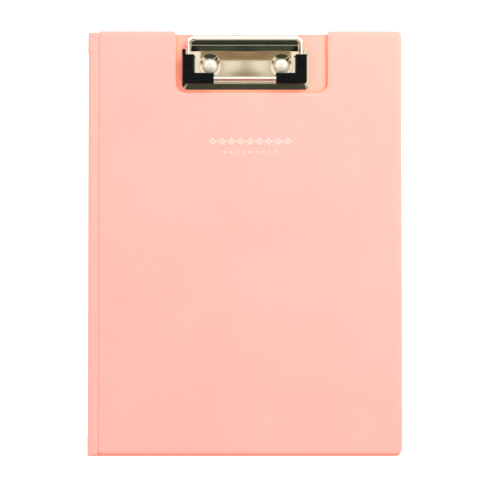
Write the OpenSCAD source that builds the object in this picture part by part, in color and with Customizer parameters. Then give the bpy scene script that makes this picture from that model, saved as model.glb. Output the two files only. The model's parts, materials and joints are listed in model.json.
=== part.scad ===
// Folding clipboard (clip file): a stiff back panel with a sprung wire clip at its head, and a padded
// cover that is joined to it by a spine strip between two fold lines. Lying closed on its back:
// X runs across the page, Y runs up the page towards the clip, Z runs up through the layers.
// The origin is under the middle of the whole object, on the surface it lies on.

/* [Panels] */
// Overall width, from the folded spine edge to the opening edge
overall_w = 235; // [210:1:282]
// Height of each panel, from head to tail
panel_h = 316; // [260:1:380]
// How far the closed cover rides up past the back
cover_creep = 2.2; // [0:0.1:3]
// How far the back's opening edge stays inside the cover's
back_reveal = 0.7; // [0:0.1:2]
// Width of the spine strip between its two fold lines
spine_w = 7.9; // [6:0.1:12]
// Corner radius at the opening edge
corner_r = 4.2; // [3:0.1:8]
// Corner radius beside the spine
spine_corner_r = 2.2; // [1:0.1:2.8]
// Length of the outer skin's turned-in hem at each end of the spine
hem_l = 15.2; // [8:0.1:20]
// How far the spine strip lies below its hems
spine_sink = 0.35; // [0.1:0.05:0.6]

/* [Layers] */
// Thickness of the leather-look outer skin
skin_t = 0.5; // [0.4:0.05:0.7]
// Thickness of the inner lining sheet
lining_t = 0.5; // [0.4:0.05:0.7]
// Thickness of the greyboard in the back
back_board_t = 2; // [1.8:0.1:3]
// Thickness of the greyboard in the cover
cover_board_t = 1.2; // [1:0.1:2]
// Thickness of the foam under the cover's skin
padding_t = 0.5; // [0.3:0.1:1.5]
// Thickness of the pocket sheet inside the cover
pocket_t = 0.3; // [0.2:0.05:0.5]
// Clear space over the back at each fold, with the cover closed
fold_gap = 0.3; // [0.3:0.05:1]
// How far the boards and linings stop short of the folded edge, so that the skin can bend
bend_allowance = 3; // [2.5:0.1:4]

/* [Cover] */
// Gap between the notch and the front of the clip
notch_front_gap = 2.2; // [1:0.1:6]
// Gap between the notch and the clip on the spine side
notch_spine_gap = 4.5; // [2:0.1:8]
// Gap between the notch and the clip on the opening side
notch_finger_gap = 13.4; // [6:0.1:20]
// Radius of the notch's inner corners
notch_r = 7; // [2:0.1:12]
// Radius of the lips where the notch meets the head edge
notch_lip_r = 3; // [1:0.1:6]
// Width of the pocket's border on the cover's inner face
pocket_margin = 12; // [6:1:30]
// Height of the pocket
pocket_h = 150; // [80:1:200]
// Distance from the notch down to the stamped foil ornament
foil_drop = 36.7; // [20:0.1:80]

/* [Clip plate] */
// Sideways place of the clip on the back
clip_x = 0.7; // [-6:0.1:6]
// Sheet thickness of the plate
sheet_t = 0.8; // [0.6:0.05:1]
// Height of the deck above the lining
deck_h = 2.6; // [2.4:0.1:4]
// Width of the bevelled flange in front of the rubber corners
front_bevel = 4; // [2.5:0.1:6]
// How far the plate reaches past the rubber corners at each side
side_margin = 1.3; // [0.5:0.1:4]
// Width of the bevelled flange at each side
side_bevel = 3.2; // [2:0.1:4]
// Corner radius of the plate
plate_r = 3.5; // [1:0.1:6]
// Height of the step from the deck up to the barrel
neck_rise = 2; // [0.5:0.1:2.2]
// Outside diameter of the rolled barrel
barrel_d = 7.8; // [7.6:0.1:9]
// Distance between the rivets
rivet_pitch = 53.6; // [40:0.1:60]
// Distance from the barrel's axis to the rivets
rivet_reach = 20.8; // [18:0.1:24]

/* [Rivets] */
// Diameter of the rivet's low dome
rivet_head_d = 10.6; // [7:0.1:11]
// Height of the rivet's dome
rivet_head_h = 1.6; // [1:0.1:1.8]
// Diameter of the rivet's shank
rivet_d = 4; // [3:0.1:5]
// Thickness of the washer under the board
washer_t = 0.5; // [0.3:0.05:0.6]
// Diameter of the washer under the board
washer_d = 9; // [7.5:0.1:11]

/* [Clamp] */
// Diameter of the wire
wire_d = 2.8; // [2.4:0.1:3]
// Distance between the two arms of the wire loop
wire_span = 84.5; // [70:0.5:102]
// Distance between the rear and front bars of the wire loop
wire_reach = 30; // [29:0.1:37]
// Bend radius of the wire, at its centre line
bend_r = 4.2; // [3.5:0.1:4.4]
// How far the wire loop has slid to the spine side in its barrel
end_play = 0.6; // [0:0.1:0.6]
// Width of each leg of the rubber corners
boot_w = 8.2; // [6:0.1:9]
// Height of the rubber corners
boot_h = 4.8; // [4.2:0.1:5.4]
// Length of the rubber corner along the arm
boot_arm_l = 22; // [14:0.5:24]
// Length of the rubber corner along the front bar
boot_bar_l = 23; // [14:0.5:30]
// Radius of the rubber corner's outer corner
boot_r = 2.4; // [1:0.1:4]
// Clear height of the rubber corners over the deck
grip_gap = 0.3; // [0.3:0.05:1]
// Wire diameter of the torsion springs
spring_wire_d = 1; // [0.8:0.05:1]
// Length of each torsion spring
spring_l = 22; // [12:1:26]

/* [Hidden] */
$fn = 96;

eps = 0.01;
edge_fit = 0.05;       // clearance round the layers inside a skin
shaft_fit = 0.05;      // radial clearance of the wire in its bushes and of a rivet in its holes
tunnel_fit = 0.02;     // radial clearance of the wire in its rubber corners
arm_gap = 0.5;         // gap between the plate's neck and each arm of the wire
fold_slit = 0.4;       // slit between the spine strip and the cover

// Heights of the layers
back_t = skin_t + back_board_t + lining_t;
cover_z0 = back_t + fold_gap + pocket_t;
cover_t = skin_t + padding_t + cover_board_t + lining_t;
cover_top = cover_z0 + cover_t;
spine_core_t = cover_t - skin_t - lining_t - spine_sink;

// Outlines of the three panels
spine_x0 = -overall_w / 2;
spine_x1 = spine_x0 + spine_w - fold_slit / 2;
cover_x0 = spine_x0 + spine_w + fold_slit / 2;
cover_x1 = overall_w / 2;
back_x0 = spine_x0 + fold_gap;
back_x1 = cover_x1 - back_reveal;
back_y0 = -(panel_h + cover_creep) / 2;
back_y1 = back_y0 + panel_h;
cover_y0 = back_y0 + cover_creep;
cover_y1 = cover_y0 + panel_h;

// Clip: the barrel lies flush with the back's head edge
axis_y = back_y1 - barrel_d / 2;
deck_z = back_t + deck_h;
axis_z = deck_z + grip_gap + boot_h / 2;
wire_x = clip_x - end_play;
barrel_over = 0.45;
barrel_l = wire_span - 2 * bend_r + 2 * barrel_over;
barrel_bore_r = barrel_d / 2 - sheet_t;
plate_w = wire_span + boot_w + 2 * side_margin;
plate_y0 = axis_y - wire_reach - boot_w / 2 - front_bevel;
plate_y1 = axis_y - 7;
neck_w = wire_span - wire_d - 2 * end_play - 2 * arm_gap;
neck_ramp = 3;
dimple_r = rivet_head_d / 2 + 1.7;
dimple_wall = 1.1;
dish_r = 38;
dish_half_w = 9.5;
dish_l = rivet_pitch - 2 * dimple_r - 2.4;
dish_y = axis_y - 18.6;

// Bushes and springs inside the barrel
bush_l = 2;
bush_inset = 1.5;
spring_pitch = spring_wire_d * 1.15;
spring_r = (wire_d / 2 + barrel_bore_r) / 2;

// Notch in the cover, clear of the clip all round
notch_x0 = clip_x - plate_w / 2 - notch_spine_gap;
notch_x1 = clip_x + plate_w / 2 + notch_finger_gap;
notch_y0 = plate_y0 - notch_front_gap;

// ---------------------------------------------------------------- shared shapes

// Rectangle with its own corner radius at the spine side and at the opening side
module panel_outline(x0, y0, x1, y1, r0, r1) {
    union() {
        translate([x0 + r0, y0]) square([x1 - r1 - x0 - r0, y1 - y0]);
        translate([x0, y0 + r0]) square([r0 + eps, y1 - y0 - 2 * r0]);
        translate([x1 - r1 - eps, y0 + r1]) square([r1 + eps, y1 - y0 - 2 * r1]);
        for (y = [y0 + r0, y1 - r0]) translate([x0 + r0, y]) circle(r0);
        for (y = [y0 + r1, y1 - r1]) translate([x1 - r1, y]) circle(r1);
    }
}

// The fillet that rounds one outer lip of the notch; side is -1 or 1
module lip_fillet(x, y, r, side) {
    translate([x, y]) difference() {
        translate([side < 0 ? -r : -eps, -r]) square([r + eps, r + eps]);
        translate([side * r, -r]) circle(r);
    }
}

// Outline of the back, drawn in by inset, and by bend more at the folded edge
module back_outline(inset, bend = 0) {
    panel_outline(back_x0 + inset + bend, back_y0 + inset, back_x1 - inset, back_y1 - inset,
                  spine_corner_r - inset, corner_r - inset);
}

// Outline of the cover with its notch, drawn in by inset
module cover_outline(inset) {
    head = cover_y1 - inset;
    lip = notch_lip_r - inset;
    nx0 = notch_x0 - inset;
    nx1 = notch_x1 + inset;
    difference() {
        panel_outline(cover_x0 + inset, cover_y0 + inset, cover_x1 - inset, head,
                      spine_corner_r - inset, corner_r - inset);
        panel_outline(nx0, notch_y0 - inset, nx1, head + 2 * notch_r, notch_r + inset, notch_r + inset);
        lip_fillet(nx0, head, lip, -1);
        lip_fillet(nx1, head, lip, 1);
    }
}

// Outline of the spine strip, drawn in by inset, and by bend more at the folded edge
module spine_outline(inset, bend = 0) {
    panel_outline(spine_x0 + inset + bend, -panel_h / 2 + inset, spine_x1 - inset, panel_h / 2 - inset,
                  bend > 0 ? 1 - inset : spine_corner_r - inset, 1 - inset);
}

// Places its children at both rivets
module at_rivets() {
    for (side = [-1, 1]) at_rivet(side) children();
}

module at_rivet(side) {
    translate([clip_x + side * rivet_pitch / 2, axis_y - rivet_reach, 0]) children();
}

// Places its children, drawn along Z, along the barrel's axis with Z turned to +X
module on_axis(x) {
    translate([x, axis_y, axis_z]) rotate([0, 90, 0]) children();
}

// ---------------------------------------------------------------- back

module back_skin() {
    color("lightpink") difference() {
        linear_extrude(back_t) back_outline(0);
        translate([0, 0, skin_t]) linear_extrude(back_t) back_outline(skin_t);
    }
}

module back_board() {
    color("tan") difference() {
        translate([0, 0, skin_t]) linear_extrude(back_board_t)
            back_outline(skin_t + edge_fit, bend_allowance);
        at_rivets() {
            cylinder(r = rivet_d / 2 + shaft_fit, h = back_t);
            cylinder(d = washer_d + 2 * edge_fit, h = skin_t + 2 * washer_t + edge_fit);
        }
    }
}

module back_lining() {
    color("lightsalmon") difference() {
        translate([0, 0, skin_t + back_board_t]) linear_extrude(lining_t)
            back_outline(skin_t + edge_fit, bend_allowance);
        at_rivets() cylinder(r = rivet_d / 2 + shaft_fit, h = back_t + 1);
    }
}

// ---------------------------------------------------------------- clip

// Block with sloping sides and front: side and front are the plan widths of the slopes
module bevel_block(w, y0, y1, h, side, front, r) {
    intersection() {
        translate([0, y1, 0]) rotate([90, 0, 0]) linear_extrude(y1 - y0)
            polygon([[-w / 2, 0], [w / 2, 0], [w / 2 - side, h], [-w / 2 + side, h]]);
        translate([-w / 2, 0, 0]) rotate([90, 0, 90]) linear_extrude(w)
            polygon([[y0, 0], [y0 + front, h], [y1, h], [y1, 0]]);
        linear_extrude(h) union() {
            translate([-w / 2, y0 + r]) square([w, y1 - y0 - r]);
            translate([-w / 2 + r, y0]) square([w - 2 * r, y1 - y0]);
            for (x = [-w / 2 + r, w / 2 - r]) translate([x, y0 + r]) circle(r);
        }
    }
}

// Long shallow scoop in the deck: the part of a rounded trough between heights z0 and z1
module dish(grow, z0, z1) {
    depth = dish_r - sqrt(dish_r * dish_r - dish_half_w * dish_half_w);
    reach = dish_l / 2 - dish_half_w;
    intersection() {
        translate([clip_x, dish_y, deck_z + dish_r - depth]) {
            translate([-reach, 0, 0]) rotate([0, 90, 0])
                cylinder(r = dish_r + grow, h = 2 * reach, $fn = 180);
            for (side = [-1, 1]) translate([side * reach, 0, 0]) sphere(r = dish_r + grow, $fn = 180);
        }
        translate([clip_x - dish_l / 2 - 1, dish_y - dish_half_w - 1, z0])
            cube([dish_l + 2, 2 * dish_half_w + 2, z1 - z0]);
    }
}

// Sheet that steps up from the deck and runs into the barrel
module neck() {
    y0 = plate_y1 - neck_ramp / 2;
    y1 = y0 + neck_ramp;
    y2 = axis_y - barrel_bore_r - sheet_t / 3;
    top = deck_z + neck_rise;
    translate([clip_x - neck_w / 2, 0, 0]) rotate([90, 0, 90]) linear_extrude(neck_w)
        polygon([[y0 - 1, deck_z], [y0, deck_z], [y1, top], [y2, top], [y2, top - sheet_t],
                 [y1 + 0.3, top - sheet_t], [y0 + 0.3, deck_z - sheet_t], [y0 - 1, deck_z - sheet_t]]);
}

module clip_base_plate() {
    wall = sheet_t * 1.3;
    color("silver") difference() {
        union() {
            difference() {
                translate([clip_x, 0, back_t])
                    bevel_block(plate_w, plate_y0, plate_y1, deck_h, side_bevel, front_bevel, plate_r);
                translate([clip_x, 0, back_t - eps])
                    bevel_block(plate_w - 2 * wall, plate_y0 + wall, plate_y1 + 1, deck_h - sheet_t,
                                side_bevel - 0.6, front_bevel - 0.6, plate_r - wall / 2);
            }
            at_rivets() translate([0, 0, back_t]) cylinder(r = dimple_r + sheet_t, h = deck_h);
            dish(sheet_t, back_t + fold_gap, deck_z - sheet_t + eps);
            neck();
            on_axis(clip_x - barrel_l / 2) cylinder(d = barrel_d, h = barrel_l);
        }
        dish(0, back_t + fold_gap, deck_z + eps);
        at_rivets() {
            translate([0, 0, back_t + sheet_t])
                cylinder(r1 = dimple_r - dimple_wall, r2 = dimple_r, h = deck_h - sheet_t + eps);
            translate([0, 0, back_t - 1]) cylinder(r = rivet_d / 2 + shaft_fit, h = 3);
        }
        on_axis(clip_x - barrel_l / 2 - 1) cylinder(r = barrel_bore_r, h = barrel_l + 2);
    }
}

// Low domed head in the dimple, a shank through plate, lining and board, and a spread tail
module rivet() {
    head_z = back_t + sheet_t;
    rim = 0.3;
    cap_h = rivet_head_h - rim;
    head_r = rivet_head_d / 2;
    ball_r = (head_r * head_r + cap_h * cap_h) / (2 * cap_h);
    tail_z = skin_t + edge_fit;
    union() {
        translate([0, 0, head_z]) cylinder(r = head_r, h = rim);
        intersection() {
            translate([0, 0, head_z + rim - ball_r + cap_h]) sphere(r = ball_r, $fn = 180);
            translate([0, 0, head_z + rim - eps]) cylinder(r = head_r, h = cap_h + 1);
        }
        translate([0, 0, tail_z]) cylinder(d = rivet_d, h = head_z - tail_z + eps);
        translate([0, 0, tail_z]) cylinder(d = washer_d - 2, h = washer_t - edge_fit);
    }
}

module rivet_left() { color("gainsboro") at_rivet(-1) rivet(); }
module rivet_right() { color("gainsboro") at_rivet(1) rivet(); }

module rivet_washers() {
    color("lightgrey") at_rivets() translate([0, 0, skin_t + washer_t]) difference() {
        cylinder(d = washer_d, h = washer_t);
        translate([0, 0, -1]) cylinder(r = rivet_d / 2 + shaft_fit, h = washer_t + 2);
    }
}

// Plain bush that carries the wire inside one end of the barrel
module barrel_bush(x) {
    color("ivory") on_axis(x) difference() {
        cylinder(r = barrel_bore_r, h = bush_l);
        translate([0, 0, -1]) cylinder(r = wire_d / 2 + shaft_fit, h = bush_l + 2);
    }
}

module barrel_bush_left() { barrel_bush(clip_x - barrel_l / 2 + bush_inset); }
module barrel_bush_right() { barrel_bush(clip_x + barrel_l / 2 - bush_inset - bush_l); }

// Points of a ring of the coil: t in turns along the helix about Z
function coil_point(t, sides, i) =
    let (r = spring_r + spring_wire_d / 2 * cos(360 * i / sides), a = 360 * t)
    [r * cos(a), r * sin(a), spring_pitch * t + spring_wire_d / 2 * (1 + sin(360 * i / sides))];

// Closed coil of round wire, swept as one skin of quads with flat ends
module torsion_spring(x) {
    sides = 6;
    turns = floor((spring_l - spring_wire_d) / spring_pitch);
    rings = turns * 16;
    points = [for (k = [0 : rings]) for (i = [0 : sides - 1]) coil_point(k / 16, sides, i)];
    skin = [for (k = [0 : rings - 1]) for (i = [0 : sides - 1])
        [k * sides + i, (k + 1) * sides + i,
         (k + 1) * sides + (i + 1) % sides, k * sides + (i + 1) % sides]];
    first = [[for (i = [0 : sides - 1]) i]];
    last = [[for (i = [0 : sides - 1]) rings * sides + sides - 1 - i]];
    color("dimgrey") on_axis(x) polyhedron(concat(points), concat(skin, first, last), convexity = 20);
}

module torsion_spring_left() {
    torsion_spring(clip_x - barrel_l / 2 + bush_inset + bush_l + edge_fit);
}

module torsion_spring_right() {
    torsion_spring(clip_x + barrel_l / 2 - bush_inset - bush_l - edge_fit - spring_l);
}

// ---------------------------------------------------------------- spine

module spine_skin() {
    hem_z = cover_top - spine_sink;
    color("pink") difference() {
        translate([0, 0, cover_z0 - pocket_t]) linear_extrude(cover_top - cover_z0 + pocket_t)
            spine_outline(0);
        translate([0, 0, cover_z0 - 1]) linear_extrude(cover_t - skin_t - spine_sink + 1)
            spine_outline(skin_t);
        translate([spine_x0 - 1, -panel_h / 2 + hem_l, hem_z])
            cube([spine_w + 2, panel_h - 2 * hem_l, spine_sink + 1]);
    }
}

module spine_stiffener() {
    color("burlywood") translate([0, 0, cover_z0 + lining_t])
        linear_extrude(spine_core_t) spine_outline(skin_t + edge_fit, bend_allowance);
}

module spine_lining() {
    color("lightsalmon") translate([0, 0, cover_z0]) linear_extrude(lining_t)
        spine_outline(skin_t + edge_fit, bend_allowance);
}

// ---------------------------------------------------------------- cover

module cover_skin() {
    color("lightpink") translate([0, 0, cover_z0]) difference() {
        linear_extrude(cover_t) cover_outline(0);
        translate([0, 0, -1]) linear_extrude(cover_t - skin_t + 1) cover_outline(skin_t);
    }
}

// One flat layer inside the cover, from height z
module cover_layer(z, t) {
    translate([0, 0, z]) linear_extrude(t) cover_outline(skin_t + edge_fit);
}

module cover_padding() {
    color("ivory") cover_layer(cover_z0 + lining_t + cover_board_t, padding_t);
}

module cover_board() {
    color("tan") cover_layer(cover_z0 + lining_t, cover_board_t);
}

module cover_lining() {
    color("lightsalmon") cover_layer(cover_z0, lining_t);
}

// Sheet stuck to the lining at its foot and sides, with a thumb cut in its open edge
module cover_pocket() {
    x0 = cover_x0 + pocket_margin;
    x1 = cover_x1 - pocket_margin;
    y0 = cover_y0 + pocket_margin;
    thumb_r = 12;
    color("mistyrose") translate([0, 0, cover_z0 - pocket_t]) linear_extrude(pocket_t) difference() {
        translate([x0, y0]) square([x1 - x0, pocket_h]);
        translate([(x0 + x1) / 2, y0 + pocket_h]) circle(thumb_r);
    }
}

// Stamped ornament: a chain of open lozenges with studs, over a shorter row of bars and studs
module foil_mark() {
    foil_t = 0.06;
    cx = (cover_x0 + cover_x1) / 2;
    y = notch_y0 - foil_drop;
    color("silver") translate([cx, y, cover_top]) linear_extrude(foil_t) {
        for (i = [-4 : 4]) translate([i * 7, 0]) {
            difference() {
                polygon([[-2.6, 0], [0, -2.8], [2.6, 0], [0, 2.8]]);
                polygon([[-1.5, 0], [0, -1.6], [1.5, 0], [0, 1.6]]);
            }
            circle(d = 1, $fn = 24);
        }
        for (i = [-4.5 : 1 : 4.5]) translate([i * 7, 0]) circle(d = 1.1, $fn = 24);
        translate([0, -8]) for (i = [-4 : 4]) translate([i * 4.8, 0])
            if (i % 2 == 0) square([2.6, 0.9], center = true); else circle(d = 1.5, $fn = 24);
    }
}

// ---------------------------------------------------------------- clamp

// Quarter bend of the wire about a corner, starting from angle a
module wire_bend(x, y, a) {
    translate([x, y, axis_z]) rotate([0, 0, a])
        rotate_extrude(angle = 90) translate([bend_r, 0]) circle(d = wire_d, $fn = 48);
}

// Closed loop: rear bar in the barrel, two arms and the front bar, with round bends
module wire_loop() {
    x0 = wire_x - wire_span / 2;
    x1 = wire_x + wire_span / 2;
    y0 = axis_y - wire_reach;
    bar_l = wire_span - 2 * bend_r;
    arm_l = wire_reach - 2 * bend_r;
    color("whitesmoke") union() {
        for (y = [y0, axis_y]) translate([x0 + bend_r, y, axis_z]) rotate([0, 90, 0])
            cylinder(d = wire_d, h = bar_l);
        for (x = [x0, x1]) translate([x, y0 + bend_r, axis_z]) rotate([-90, 0, 0])
            cylinder(d = wire_d, h = arm_l);
        wire_bend(x1 - bend_r, axis_y - bend_r, 0);
        wire_bend(x0 + bend_r, axis_y - bend_r, 90);
        wire_bend(x0 + bend_r, y0 + bend_r, 180);
        wire_bend(x1 - bend_r, y0 + bend_r, 270);
    }
}

// Outline of a leg's cross-section with rounded long edges
module boot_section() {
    r = boot_h * 0.3;
    union() {
        square([boot_w, boot_h - 2 * r], center = true);
        square([boot_w - 2 * r, boot_h], center = true);
        for (x = [-1, 1]) for (y = [-1, 1])
            translate([x * (boot_w / 2 - r), y * (boot_h / 2 - r)]) circle(r, $fn = 48);
    }
}

// Rubber corner for the spine side, in place; the other side is its mirror image
module rubber_corner() {
    x0 = -wire_span / 2 - boot_w / 2;
    y0 = axis_y - wire_reach - boot_w / 2;
    difference() {
        intersection() {
            union() {
                translate([x0, y0 + boot_w / 2, axis_z]) rotate([90, 0, 90])
                    linear_extrude(boot_bar_l) boot_section();
                translate([x0 + boot_w / 2, y0 + boot_arm_l, axis_z]) rotate([90, 0, 0])
                    linear_extrude(boot_arm_l) boot_section();
            }
            translate([0, 0, axis_z - boot_h]) linear_extrude(2 * boot_h) union() {
                translate([x0 + boot_r, y0]) square([boot_bar_l, boot_w]);
                translate([x0, y0 + boot_r]) square([boot_w, boot_arm_l]);
                translate([x0 + boot_r, y0 + boot_r]) circle(boot_r);
            }
        }
        wire_tunnel(-wire_span / 2, axis_y - wire_reach);
    }
}

// The space that the wire takes inside a rubber corner, from corner point (x, y)
module wire_tunnel(x, y) {
    r = wire_d / 2 + tunnel_fit;
    translate([x + bend_r, y, axis_z]) rotate([0, 90, 0]) cylinder(r = r, h = boot_bar_l);
    translate([x, y + bend_r, axis_z]) rotate([-90, 0, 0]) cylinder(r = r, h = boot_arm_l);
    translate([x + bend_r, y + bend_r, axis_z]) rotate([0, 0, 180])
        rotate_extrude(angle = 90) translate([bend_r, 0]) circle(r = r, $fn = 48);
}

module rubber_corner_left() {
    color("black") translate([wire_x, 0, 0]) rubber_corner();
}

module rubber_corner_right() {
    color("black") translate([wire_x, 0, 0]) mirror([1, 0, 0]) rubber_corner();
}

back_skin();
back_board();
back_lining();
clip_base_plate();
rivet_left();
rivet_right();
rivet_washers();
barrel_bush_left();
barrel_bush_right();
torsion_spring_left();
torsion_spring_right();
spine_skin();
spine_stiffener();
spine_lining();
cover_skin();
cover_padding();
cover_board();
cover_lining();
cover_pocket();
foil_mark();
wire_loop();
rubber_corner_left();
rubber_corner_right();
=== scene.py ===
"""Looks for the folding clipboard: its skins, clip, rubber corners, finishes, light and camera.

All lengths are metres in the frame's own axes: X across the page, Y up the page, Z up through the layers.
"""
import json
import logging
import math
from dataclasses import dataclass
from enum import Enum
from typing import ClassVar

import bmesh
import bpy
import numpy as np
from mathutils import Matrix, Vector


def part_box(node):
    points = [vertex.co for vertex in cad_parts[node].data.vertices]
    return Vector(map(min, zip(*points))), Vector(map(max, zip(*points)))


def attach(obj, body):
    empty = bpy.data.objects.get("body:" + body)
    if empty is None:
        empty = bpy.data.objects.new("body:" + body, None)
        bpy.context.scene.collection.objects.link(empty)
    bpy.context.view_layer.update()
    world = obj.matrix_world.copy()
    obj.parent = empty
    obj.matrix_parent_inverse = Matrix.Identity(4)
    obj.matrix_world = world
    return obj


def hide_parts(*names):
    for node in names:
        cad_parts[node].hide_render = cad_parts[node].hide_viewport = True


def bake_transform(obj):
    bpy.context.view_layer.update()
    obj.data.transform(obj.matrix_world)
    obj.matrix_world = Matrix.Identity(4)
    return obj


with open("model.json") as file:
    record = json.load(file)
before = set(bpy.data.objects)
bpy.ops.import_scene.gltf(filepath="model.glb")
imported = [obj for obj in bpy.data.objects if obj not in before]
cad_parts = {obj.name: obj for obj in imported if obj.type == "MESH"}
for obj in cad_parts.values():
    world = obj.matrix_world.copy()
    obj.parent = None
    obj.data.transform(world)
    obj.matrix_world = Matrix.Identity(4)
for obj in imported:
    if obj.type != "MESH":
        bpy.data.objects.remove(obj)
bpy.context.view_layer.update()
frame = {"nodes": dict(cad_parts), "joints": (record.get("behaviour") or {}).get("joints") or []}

MM = 0.001
WHITE = (1.0, 1.0, 1.0, 1.0)
LOG = logging.getLogger("clipboard")

Triple = tuple[float, float, float]
BrokenLine = tuple[tuple[float, float], ...]
Faces = list[tuple[int, ...]]
Shell = tuple[np.ndarray, Faces]
Socket = bpy.types.NodeSocket
Stops = tuple[tuple[float, Triple], ...]


class Body(str, Enum):
    """Moving bodies of the frame."""

    BACK = "back"
    SPINE = "spine"
    COVER = "cover"
    CLAMP = "clamp"


# ------------------------------------------------------------------ meshes


@dataclass(frozen=True)
class Corner:
    """A right-angled corner of an outline; a hollow one turns away from the material."""

    x: float
    y: float
    radius: float
    hollow: bool = False


class Outline:
    """Closed outline with rounded right-angled corners, walked anticlockwise."""

    def __init__(self, corners: list[Corner], arc_points: int = 10, step: float = 8 * MM) -> None:
        """Keeps the corners and how finely they are cut.

        Args:
            corners: corners in anticlockwise order.
            arc_points: points along each rounded corner.
            step: spacing of the points along straight edges.
        """
        self.corners = corners
        self.arc_points = arc_points
        self.step = step

    def ring(self, inset: float = 0.0) -> tuple[np.ndarray, np.ndarray]:
        """Points and outward normals of the outline, drawn in by inset.

        A corner's tip moves in along both edge normals. Its arc is the tip plus the radius along both
        normals, less the radius along their quarter-turn mix; a hollow corner's radius grows instead.

        Args:
            inset: distance from the true outline, positive inwards.

        Returns:
            Arrays of N by 2 points and N by 2 unit normals; N doesn't depend on the inset.
        """
        count = len(self.corners)
        turn = np.linspace(0, math.pi / 2, self.arc_points)[:, None]
        arcs, normals = [], []
        for i, corner in enumerate(self.corners):
            here = np.array([corner.x, corner.y])
            last, following = self.corners[i - 1], self.corners[(i + 1) % count]
            coming = here - [last.x, last.y]
            going = np.array([following.x, following.y]) - here
            n1 = np.array([-coming[1], coming[0]]) / np.hypot(*coming)
            n2 = np.array([-going[1], going[0]]) / np.hypot(*going)
            side = -1.0 if corner.hollow else 1.0
            radius = max(corner.radius - side * inset, 0.02 * MM)
            centre = here + (inset + side * radius) * (n1 + n2)
            mix = np.cos(turn) * n1 + np.sin(turn) * n2
            arcs.append(centre - side * radius * mix)
            normals.append(-mix)
        points, outward = [], []
        for i, corner in enumerate(self.corners):
            following = self.corners[(i + 1) % count]
            cuts = max(1, round(math.hypot(following.x - corner.x, following.y - corner.y) / self.step))
            t = (np.arange(1, cuts) / cuts)[:, None]
            start, end = arcs[i][-1], arcs[(i + 1) % count][0]
            points += [arcs[i], start + (end - start) * t]
            outward += [normals[i], np.repeat(normals[i][-1:], cuts - 1, axis=0)]
        return np.vstack(points), np.vstack(outward)


def ring_faces(rows: int, columns: int, close_rows: bool = False, first: int = 0) -> Faces:
    """Quads between closed rings of points.

    Args:
        rows: number of rings.
        columns: points in each ring.
        close_rows: joins the last ring to the first as well.
        first: index of the first point.

    Returns:
        Faces as tuples of point indices.
    """
    last = rows if close_rows else rows - 1
    k, i = np.meshgrid(np.arange(last), np.arange(columns), indexing="ij")
    k2, i2 = (k + 1) % rows, (i + 1) % columns
    quads = np.stack([k * columns + i, k * columns + i2, k2 * columns + i2, k2 * columns + i], axis=-1)
    return [tuple(face) for face in (quads.reshape(-1, 4) + first).tolist()]


def solid(name: str, shells: list[Shell], sharp_deg: float = 40.0) -> bpy.types.Object:
    """Object made of closed shells, with doubles merged and faces turned outwards.

    Args:
        name: name of the piece.
        shells: points and faces of each closed shell.
        sharp_deg: edges that turn by more than this stay sharp.

    Returns:
        The new object, in the scene.
    """
    points, faces = [], []
    for shell_points, shell_faces in shells:
        shift = sum(len(p) for p in points)
        points.append(shell_points.reshape(-1, 3))
        faces += [tuple(index + shift for index in face) for face in shell_faces]
    mesh = bpy.data.meshes.new(name)
    mesh.from_pydata(np.vstack(points).tolist(), [], faces)
    work = bmesh.new()
    work.from_mesh(mesh)
    bmesh.ops.remove_doubles(work, verts=work.verts, dist=0.002 * MM)
    bmesh.ops.recalc_face_normals(work, faces=work.faces)
    work.to_mesh(mesh)
    work.free()
    mesh.polygons.foreach_set("use_smooth", np.ones(len(mesh.polygons), bool))
    mesh.set_sharp_from_angle(angle=math.radians(sharp_deg))
    piece = bpy.data.objects.new(name, mesh)
    bpy.context.scene.collection.objects.link(piece)
    return piece


def ring_shell(rings: np.ndarray) -> Shell:
    """Closed shell from a stack of rings, with a flat cap on the first and on the last.

    Args:
        rings: K by N by 3 points.

    Returns:
        Points and faces.
    """
    rows, columns = rings.shape[:2]
    caps = [tuple(range(columns)), tuple((rows - 1) * columns + i for i in range(columns))]
    return rings, ring_faces(rows, columns) + caps


def slab_shell(outline: Outline, profile: list[tuple[float, float]]) -> Shell:
    """Shell whose every ring is the outline drawn in and set at a height.

    Args:
        outline: plan of the piece.
        profile: inset and height of each ring, from one cap to the other.

    Returns:
        Points and faces.
    """
    rings = []
    for inset, height in profile:
        plan, _ = outline.ring(inset)
        rings.append(np.column_stack([plan, np.full(len(plan), height)]))
    return ring_shell(np.array(rings))


def revolved_shell(profile: np.ndarray, origin: Vector, along: str, segments: int = 96) -> Shell:
    """Shell of a profile turned about an axis: point = origin + height along it + radius round it.

    Args:
        profile: N by 2 heights and radii; it is a closed loop, or starts and ends on the axis.
        origin: point on the axis.
        along: "x" or "z", the axis.
        segments: steps in a full turn.

    Returns:
        Points and faces.
    """
    turn = np.arange(segments)[:, None] / segments * 2 * math.pi
    height = np.broadcast_to(profile[:, 0], (segments, len(profile)))
    first, second = profile[:, 1] * np.cos(turn), profile[:, 1] * np.sin(turn)
    parts = (height, first, second) if along == "x" else (first, second, height)
    points = np.stack(parts, axis=-1) + np.array(origin)
    faces = ring_faces(segments, len(profile), close_rows=True)
    if profile[0, 1] < 1e-9 and profile[-1, 1] < 1e-9:
        faces = [f for f in faces if f[1] % len(profile) != 0]
    return points, faces


def arc(cx: float, cy: float, radius: float, start_deg: float, end_deg: float, count: int) -> np.ndarray:
    """Points of a circular arc: centre plus radius times cosine and sine of the angle.

    Args:
        cx: centre's first coordinate.
        cy: centre's second coordinate.
        radius: radius of the arc.
        start_deg: first angle.
        end_deg: last angle.
        count: number of points.

    Returns:
        Count by 2 points.
    """
    angle = np.radians(np.linspace(start_deg, end_deg, count))
    return np.column_stack([cx + radius * np.cos(angle), cy + radius * np.sin(angle)])


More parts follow.
